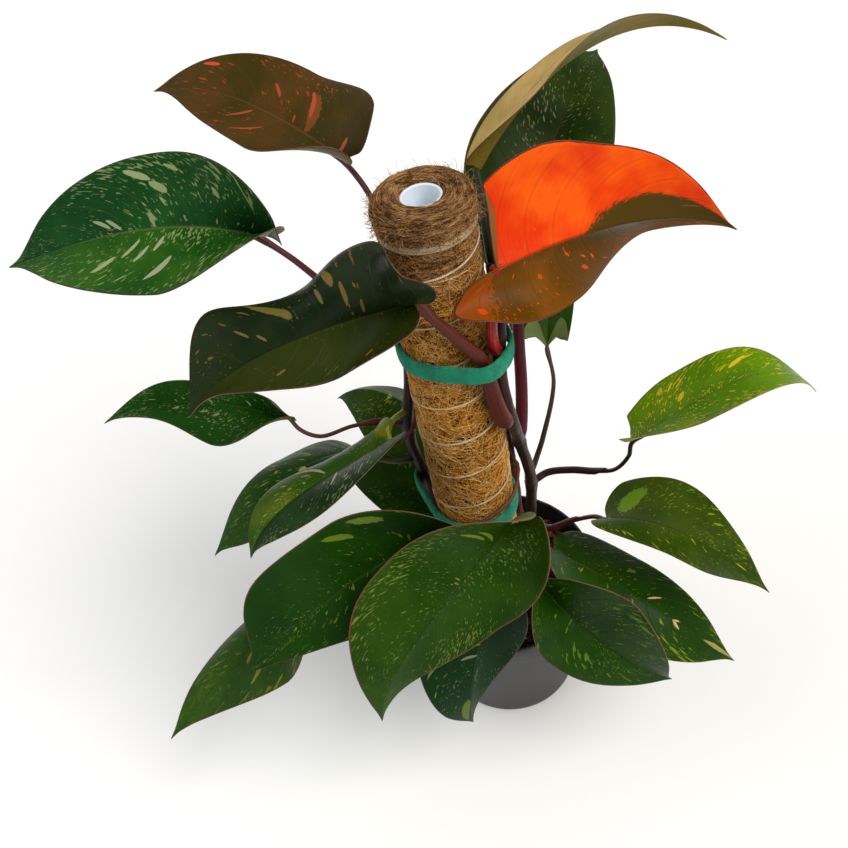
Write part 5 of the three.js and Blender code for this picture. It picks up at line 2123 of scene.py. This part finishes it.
        pinch=(25, 15), swell=((0, 0.2, 0), (0, 0, 0)),
        finish=LeafFinish(
            "shaded_green", "123503", "1e4304", "7f8b38", amount=0.36, pins=0.45, seed=26.0,
            patches=(Patch("aba06a", 0.57, -0.08, 0.016, 0.1, 0.5),), margin="4a3422", rib="2f470f",
        ),
        stalk=StalkFinish("stalk_dark_green", "3f3a22", "55602c", "6a6a3c", seed=27.0),
    ),
    LeafPlan(
        "leaf_left_middle_front",
        path=((-43, 31, 314), (-54, 20, 319), (-59, 8, 322)),
        r=(2.6, 1.8), joint=(-61, -4, 322), tip=(-171, -47, 283), width=81, arch=0.13, side=0.01,
        peak=0.5, roll=-40, twist=60, fold=(20, -10, 20, -60), asym=0, lobe=(0.8, 0.8), pinch=(0, 30),
        finish=LeafFinish(
            "green_with_lime", "0e2a0a", "18380c", "8a9460", amount=0.3, pins=0.4, seed=29.0,
            right="2a4a0a", right_tone="4a5c08",
            patches=(
                Patch("6a7408", 0.2, 0.5, 0.16, 0.6, 0.9), Patch("989688", 0.6, 0.4, 0.007, 0.3, 0.9),
                Patch("8c8c70", 0.52, 0.55, 0.009, 0.12, 0.9), Patch("a0a07c", 0.56, -0.3, 0.005, 0.2, 0.9),
            ),
            under="6f7f45", margin="4a2f26", rib="3a5012",
        ),
        stalk=StalkFinish("stalk_lime", "8c9a2c", "a0ac3a", "6f7f24", seed=30.0),
    ),
    LeafPlan(
        "leaf_inner_left_lower",
        path=((-36, 33, 168), (-35, 40, 178)),
        r=(2.4, 1.6), joint=(-31, 50, 190), tip=(-112, 88, 206), width=75, arch=0.1, side=0, peak=0,
        roll=15, twist=0, fold=(10, 0, 10, 0), asym=0, lobe=(0.9, 0.9), pinch=(25, 25),
        finish=LeafFinish(
            "shaded_plain_green", "173507", "233f09", "5c702f", amount=0.2, pins=0.35, seed=32.0,
            margin="4a3422", rib="364314",
        ),
        stalk=StalkFinish("stalk_shade", "4a3424", "5f5a34", "6a5a3c", seed=33.0),
    ),
    LeafPlan(
        "leaf_low_left",
        path=((2, -53, 176), (-10, -54, 193), (-27, -47, 226)),
        r=(2.8, 1.9), joint=(-39, -38, 254), tip=(-197, -88, 202), width=95, arch=0.13, side=-0.03,
        peak=-0.1, roll=50, twist=0, fold=(0, 5, 10, 35), asym=0.08, lobe=(0.6, 0.6), pinch=(60, 70),
        swell=((0, 0, -0.1), (0.1, 0, 0.1)), push=((1, 0.7, 5, 10, 0),),
        finish=LeafFinish(
            "green_cream_lines", "0c3003", "163a03", "6a7838", amount=0.42, pins=0.45, seed=35.0,
            patches=(
                Patch("617a22", 0.5, 0.82, 0.022, 0.09, 1.1), Patch("71823b", 0.5, -0.2, 0.009, 0.12, 0.7),
                Patch("5c741d", 0.55, 0.72, 0.01, 0.12, 1.0),
            ),
            margin="5a3a22", rib="2e460c", breadth=95.0,
        ),
        stalk=StalkFinish("stalk_low_left", *LOW_STALK, seed=36.0),
    ),
    LeafPlan(
        "leaf_low_centre",
        path=((2, -54, 188), (3, -58, 218), (6, -61, 250)),
        r=(3, 2), joint=(9, -60, 274), tip=(-108, -132, 176), width=95, arch=0.14, side=-0.01, peak=0.5,
        roll=35, twist=30, fold=(-30, 5, 5, 20), asym=-0.01, lobe=(0.8, 0.8), pinch=(60, 75),
        swell=((0, 0, 0), (-0.15, 0, 0)), push=((1, 0.64, 5, 15, 0),),
        finish=LeafFinish(
            "warm_green_pins", "1a3702", "244103", "6c7836", amount=0.16, pins=0.52, seed=38.0,
            patches=(
                Patch("687a26", 0.4, 0.35, 0.006, 0.24, 0.7), Patch("687a26", 0.43, 0.5, 0.005, 0.2, 0.7),
            ),
            margin="6a4028", rib="1e2b03", under="7f8f4c", length=6.0, breadth=105.0,
        ),
        stalk=StalkFinish("stalk_low_centre", *LOW_STALK, seed=39.0),
    ),
    LeafPlan(
        "leaf_low_left_far",
        path=((3, -51, 152), (-30, -54, 166), (-75, -48, 185), (-105, -37, 198)),
        r=(2.8, 1.8), joint=(-127, -28, 205), tip=(-279, -86, 133), width=98, arch=0.02, side=0.04,
        peak=0.4, roll=-30, twist=15, fold=(-10, -15, 30, -30), asym=-0.16, lobe=(0.5, 0.5),
        pinch=(40, 30), swell=((-0.2, 0, -0.2), (0, 0.05, 0.1)),
        finish=LeafFinish(
            "green_lime_streaks", "1d3d02", "2b4a03", "68741d", amount=0.5, pins=0.42, seed=41.0,
            patches=(
                Patch("707a1d", 0.62, -0.55, 0.008, 0.16, 1.0), Patch("68741d", 0.66, -0.15, 0.008, 0.1, 1.0),
            ),
            margin="5a3a24", rib="334c0a",
        ),
        stalk=StalkFinish("stalk_low_far", *LOW_STALK, seed=42.0),
    ),
    LeafPlan(
        "leaf_low_front",
        path=((3, -53, 168), (-2, -65, 184), (-9, -74, 200)),
        r=(2.6, 1.8), joint=(-14, -76, 212), tip=(-46, -106, 93), width=79, arch=0.12, side=-0.03,
        peak=0.2, roll=45, twist=35, fold=(-20, 30, -15, -5), asym=0.18, lobe=(0.7, 0.7), pinch=(30, 30),
        swell=((0, 0, -0.3), (0, 0, 0)),
        finish=LeafFinish(
            "blue_green", "05250b", "082b0d", "6b7a35", amount=0.18, pins=0.3, seed=44.0,
            patches=(
                Patch("6b7450", 0.58, 0.15, 0.006, 0.14, 0.4), Patch("526417", 0.84, 0.4, 0.05, 0.4, 0.9),
            ),
            margin="4a3422", rib="193714",
        ),
        stalk=StalkFinish("stalk_low_front", *LOW_STALK, seed=45.0),
    ),
    LeafPlan(
        "leaf_low_right_front",
        path=((3, -52, 160), (13, -66, 182), (20, -78, 205)),
        r=(2.6, 1.8), joint=(25, -81, 219), tip=(108, -123, 126), width=86, arch=0.03, side=0.1, peak=0,
        roll=-50, twist=-25, fold=(20, 30, 25, 0), asym=-0.18, lobe=(0.5, 0.5), pinch=(35, 55),
        finish=LeafFinish(
            "mottled_green", "123002", "1c3a03", "527014", amount=0.5, pins=0.5, seed=47.0,
            margin="5a3a22", rib="182e04", length=5.0,
        ),
        stalk=StalkFinish("stalk_low_right_front", *LOW_STALK, seed=48.0),
    ),
    LeafPlan(
        "leaf_low_right",
        path=((3, -51, 148), (18, -48, 168), (33, -41, 186)),
        r=(2.6, 1.8), joint=(44, -33, 196), tip=(160, -116, 119), width=81, arch=0.15, side=0.08,
        peak=-0.1, roll=25, twist=-35, fold=(10, -10, -25, 5), asym=0.05, lobe=(0.5, 0.5), pinch=(10, 40),
        finish=LeafFinish(
            "mottled_green_pale_tip", "183703", "234305", "74821d", amount=0.5, pins=0.4, seed=50.0,
            patches=(
                Patch("cbaa83", 0.65, -0.25, 0.004, 0.13, 0.3), Patch("cbaa83", 0.75, 0.04, 0.006, 0.16, 0.3),
                Patch("948c4a", 0.92, -0.4, 0.06, 0.6, 0.8),
            ),
            margin="5a4024", rib="253e07",
        ),
        stalk=StalkFinish("stalk_low_right", *LOW_STALK, seed=51.0),
    ),
    LeafPlan(
        "leaf_right_lower",
        path=((38, 27, 160), (47, 0, 179), (63, -14, 201), (77, -28, 219)),
        r=(3, 1.8), joint=(83, -41, 232), tip=(176, -118, 211), width=82, arch=0.1, side=-0.06, peak=-0.2,
        roll=0, twist=-15, fold=(-30, -5, 15, -15), asym=-0.13, lobe=(0.5, 0.5), pinch=(0, 30),
        swell=((0.2, 0.15, 0), (-0.2, -0.4, -0.1)),
        finish=LeafFinish(
            "muted_green", "2b4106", "3b4e09", "859520", amount=0.34, pins=0.44, seed=53.0,
            patches=(
                Patch("a3a629", 0.87, -0.05, 0.02, 0.1, 1.0),
                Patch("638413", 0.4, -0.5, 0.04, 0.3, 1.0),
            ),
            margin="5a4426", rib="373a0f",
        ),
        stalk=StalkFinish(
            "stalk_right_lower", "5a1e20", "5f4434", "8a5448", sheath=0.6, sheath_colour="5c1a1e",
            seed=54.0,
        ),
    ),
    LeafPlan(
        "leaf_right_upper",
        path=((40, 24, 210), (54, 28, 214), (71, 20, 221), (87, 7, 229), (99, -7, 243), (107, -15, 264)),
        r=(3, 1.7), joint=(107, -22, 290), tip=(239, -23, 299), width=77, arch=0.26, side=0.02, peak=0.5,
        roll=20, twist=-10, fold=(0, 30, -10, 20), asym=-0.15, lobe=(0, 0), pinch=(0, 35),
        swell=((-0.4, -0.15, 0), (0, -0.05, -0.1)),
        # The bright lime yellow is the leaf's own colour, brightened with painted light shining through the
        # blade from behind.
        finish=LeafFinish(
            "lime_yellow_painted_backlight", "4d7902", "638903", "dbbd29", amount=0.5, pins=0.6, seed=56.0,
            patches=(
                Patch("d2b732", 0.52, -0.36, 0.01, 0.1, 0.7), Patch("dbbd29", 0.67, -0.62, 0.01, 0.14, 1.1),
            ),
            margin="8a8040", rib="456903", under="8aa040", under_tone="a89a5c",
        ),
        stalk=StalkFinish(
            "stalk_right_upper", "34181c", "6f5a30", "5a3430", sheath=0.5, sheath_colour="2f1418",
            seed=57.0,
        ),
    ),
    LeafPlan(
        "leaf_behind_right",
        path=((40, 24, 220), (47, 31, 230), (55, 35, 250), (68, 44, 298)),
        r=(2.4, 1.5), joint=(67, 55, 323), tip=(116, 204, 329), width=78, arch=0.12, side=0, peak=0,
        roll=0, twist=0, fold=(12, 0, 12, 0), asym=0, lobe=(-1.2, -1.2), pinch=(25, 25),
        swell=((-0.4, -0.1, -0.1), (-0.4, -0.5, -0.4)),
        finish=LeafFinish(
            "sunlit_green", "223e02", "304803", "5c7123", amount=0.26, pins=0.4, seed=59.0,
            margin="5a3a22", rib="3e490a",
        ),
        stalk=StalkFinish("stalk_behind_right", "3f2a20", "5f4a38", "7a5f4a", seed=60.0),
    ),
)


BARK = StalkFinish("stem_bark", "33241a", "2e1614", "5c3e30", gloss=0.42, seed=1.0)
STEMS = (
    StemPlan(
        "stem_right",
        ((36, 28, 20), (36, 28, 125), (38, 27, 170), (40, 24, 213), (38, 19, 240), (34.5, 14, 264),
         (31.5, 7, 286), (28.5, -7, 309), (25.2, -17, 332), (22.2, -22.5, 356), (20.7, -24.2, 376),
         (21.2, -23.2, 392), (23.4, -17, 408), (27.2, -3, 424), (28.5, 16, 438)),
        4.6, 0.88, (0.25, 0.43, 0.585, 0.9), BARK,
    ),
    StemPlan(
        "stem_right_front",
        ((25, 19, 20), (25, 19, 125), (25.5, 18, 200), (25, 18.5, 262), (24, 20, 290)),
        4.8, 0.9, (0.6,), StalkFinish("stem_maroon", "3c0c14", "400e14", "6a2a28", gloss=0.34, seed=4.0),
    ),
    StemPlan(
        "stem_left",
        ((-33, 33, 20), (-34, 33, 125), (-37.5, 32, 200), (-41, 33, 235), (-46, 33, 275),
         (-45.5, 31, 300), (-38.5, 30.5, 335), (-33, 33, 370), (-29, 36, 400), (-27, 38, 430)),
        4.6, 0.82, (0.38, 0.5, 0.66, 0.86),
        StalkFinish("stem_dark", "2c1c1a", "1e1620", "4a2c28", gloss=0.4, seed=7.0),
    ),
    StemPlan(
        "stem_front", ((2, -50, 20), (2, -50, 125), (3, -52, 155), (2, -54, 190)),
        4.4, 0.75, (0.78, 0.9),
        StalkFinish("stem_green", "5a6430", "4f5a2c", "3f3a22", gloss=0.42, seed=10.0),
    ),
)
ROOTS = (
    AerialRoot(
        "root_lower",
        ((25, 16, 250), (27, 1, 256), (16, -25, 256), (-5, -34, 250), (-25, -32, 240),
         (-40, -17, 226), (-44, 6, 204), (-42, 16, 165), (-40, 20, 112)), 1.0,
    ),
    AerialRoot(
        "root_upper",
        ((25, 17, 256), (28, 0, 262), (16, -27, 261), (-5, -36, 255), (-27, -33.5, 245),
         (-43, -18, 232), (-48, 6, 210), (-47, 18, 168), (-46, 24, 112)), 4.0,
    ),
)
SHEATHS = (
    Sheath(
        "bract_left_sheath", (
            (-39, 30.5, 332), (-33.5, 22, 326), (-41, 19.5, 306), (-55, 19.5, 291),
        ), 4.2, 150.0,
        (-0.3, 0.6, 0.6), StalkFinish("bract_maroon", "5c1a26", "6a2a26", "8a4a40", gloss=0.4, seed=2.0),
        ("bract_left",),
    ),
)
TIES = (
    Tie("tie_upper", ((-8, 0, 30.1), (25, -9.5, 5.2), (22, -20.8, 6.6), (9.8, -33, 7.4)), 393.0),
    Tie("tie_lower", ((-8, 0, 30.1), (-41.5, 32.5, 6.4)), 230.0),
)


@dataclass
class Studio:
    """Camera, soft lights and pale floor."""

    eye: Point = (-33.7, -457.6, 801.9)
    right: Point = (0.97667, -0.15447, -0.14917)
    up: Point = (0.21474, 0.70256, 0.67845)
    ahead: Point = (0.0, 0.69466, -0.71934)
    reach: float = 950.0

    def camera(self) -> None:
        """Set the camera at the photograph's angle."""
        data = bpy.data.cameras.new("studio_camera")
        data.sensor_width = 36.0
        data.lens = 36.0 * self.reach / 848
        data.clip_start, data.clip_end = 0.02, 60.0
        eye = bpy.data.objects.new("studio_camera", data)
        axes = Matrix((self.right, self.up, tuple(-c for c in self.ahead))).transposed()
        eye.matrix_world = Matrix.Translation(Vector(self.eye) * MM) @ axes.to_4x4()
        bpy.context.scene.collection.objects.link(eye)
        bpy.context.scene.camera = eye

    def sun(self, name: str, source: Point, spread: float, strength: float, tone: Point) -> None:
        """Hang one wide soft light that comes from a direction.

        Args:
            name: its name.
            source: the direction that it comes from.
            spread: how wide it looks from the plant, in degrees.
            strength: its irradiance.
            tone: its colour.
        """
        data = bpy.data.lights.new(name, "SUN")
        data.angle = math.radians(spread)
        data.energy, data.color = strength, tone
        lamp = bpy.data.objects.new(name, data)
        lamp.location = Vector(source) * 3
        lamp.rotation_euler = (-Vector(source)).to_track_quat("-Z", "Y").to_euler()
        bpy.context.scene.collection.objects.link(lamp)

    def floor(self) -> None:
        """Lay the plain pale floor."""
        bm = bmesh.new()
        bmesh.ops.create_grid(bm, x_segments=2, y_segments=2, size=12.0)
        mesh = bpy.data.meshes.new("studio_floor")
        bm.to_mesh(mesh)
        bm.free()
        pale = bpy.data.materials.new("pale_floor")
        pale.use_nodes = True
        surface = pale.node_tree.nodes["Principled BSDF"]
        surface.inputs["Base Color"].default_value = (0.93, 0.93, 0.925, 1.0)
        surface.inputs["Roughness"].default_value = 0.9
        surface.inputs["Specular IOR Level"].default_value = 0.1
        mesh.materials.append(pale)
        floor = bpy.data.objects.new("studio_floor", mesh)
        bpy.context.scene.collection.objects.link(floor)

    def build(self) -> None:
        """Set up the whole studio."""
        self.camera()
        self.floor()
        self.sun("key", (0.55, -0.45, 0.85), 42.0, 2.6, (1.0, 0.97, 0.92))
        self.sun("cool", (-0.8, 0.1, 0.6), 60.0, 0.8, (0.92, 0.96, 1.0))
        world = bpy.data.worlds.new("soft_sky")
        world.use_nodes = True
        sky = world.node_tree.nodes["Background"]
        sky.inputs["Color"].default_value = (1.0, 1.0, 1.0, 1.0)
        sky.inputs["Strength"].default_value = 0.4
        scene = bpy.context.scene
        scene.world = world
        scene.view_settings.view_transform = "Standard"
        scene.view_settings.look = "None"


def main() -> None:
    """Build the studio and the plant, piece by piece."""
    logging.basicConfig(level=logging.INFO, format="%(name)s %(message)s")
    Studio().build()
    Pot().build()
    Soil().build()
    CoirPole().build()
    for tie in TIES:
        tie.build()
    for plan in STEMS:
        Stem(plan).build()
    for root in ROOTS:
        root.build()
    for sheath in SHEATHS:
        sheath.build()
    for plan in LEAVES:
        Leaf(plan).build()
    log.info("%d pieces", len(SHOP.made))


if __name__ == "__main__":
    main()
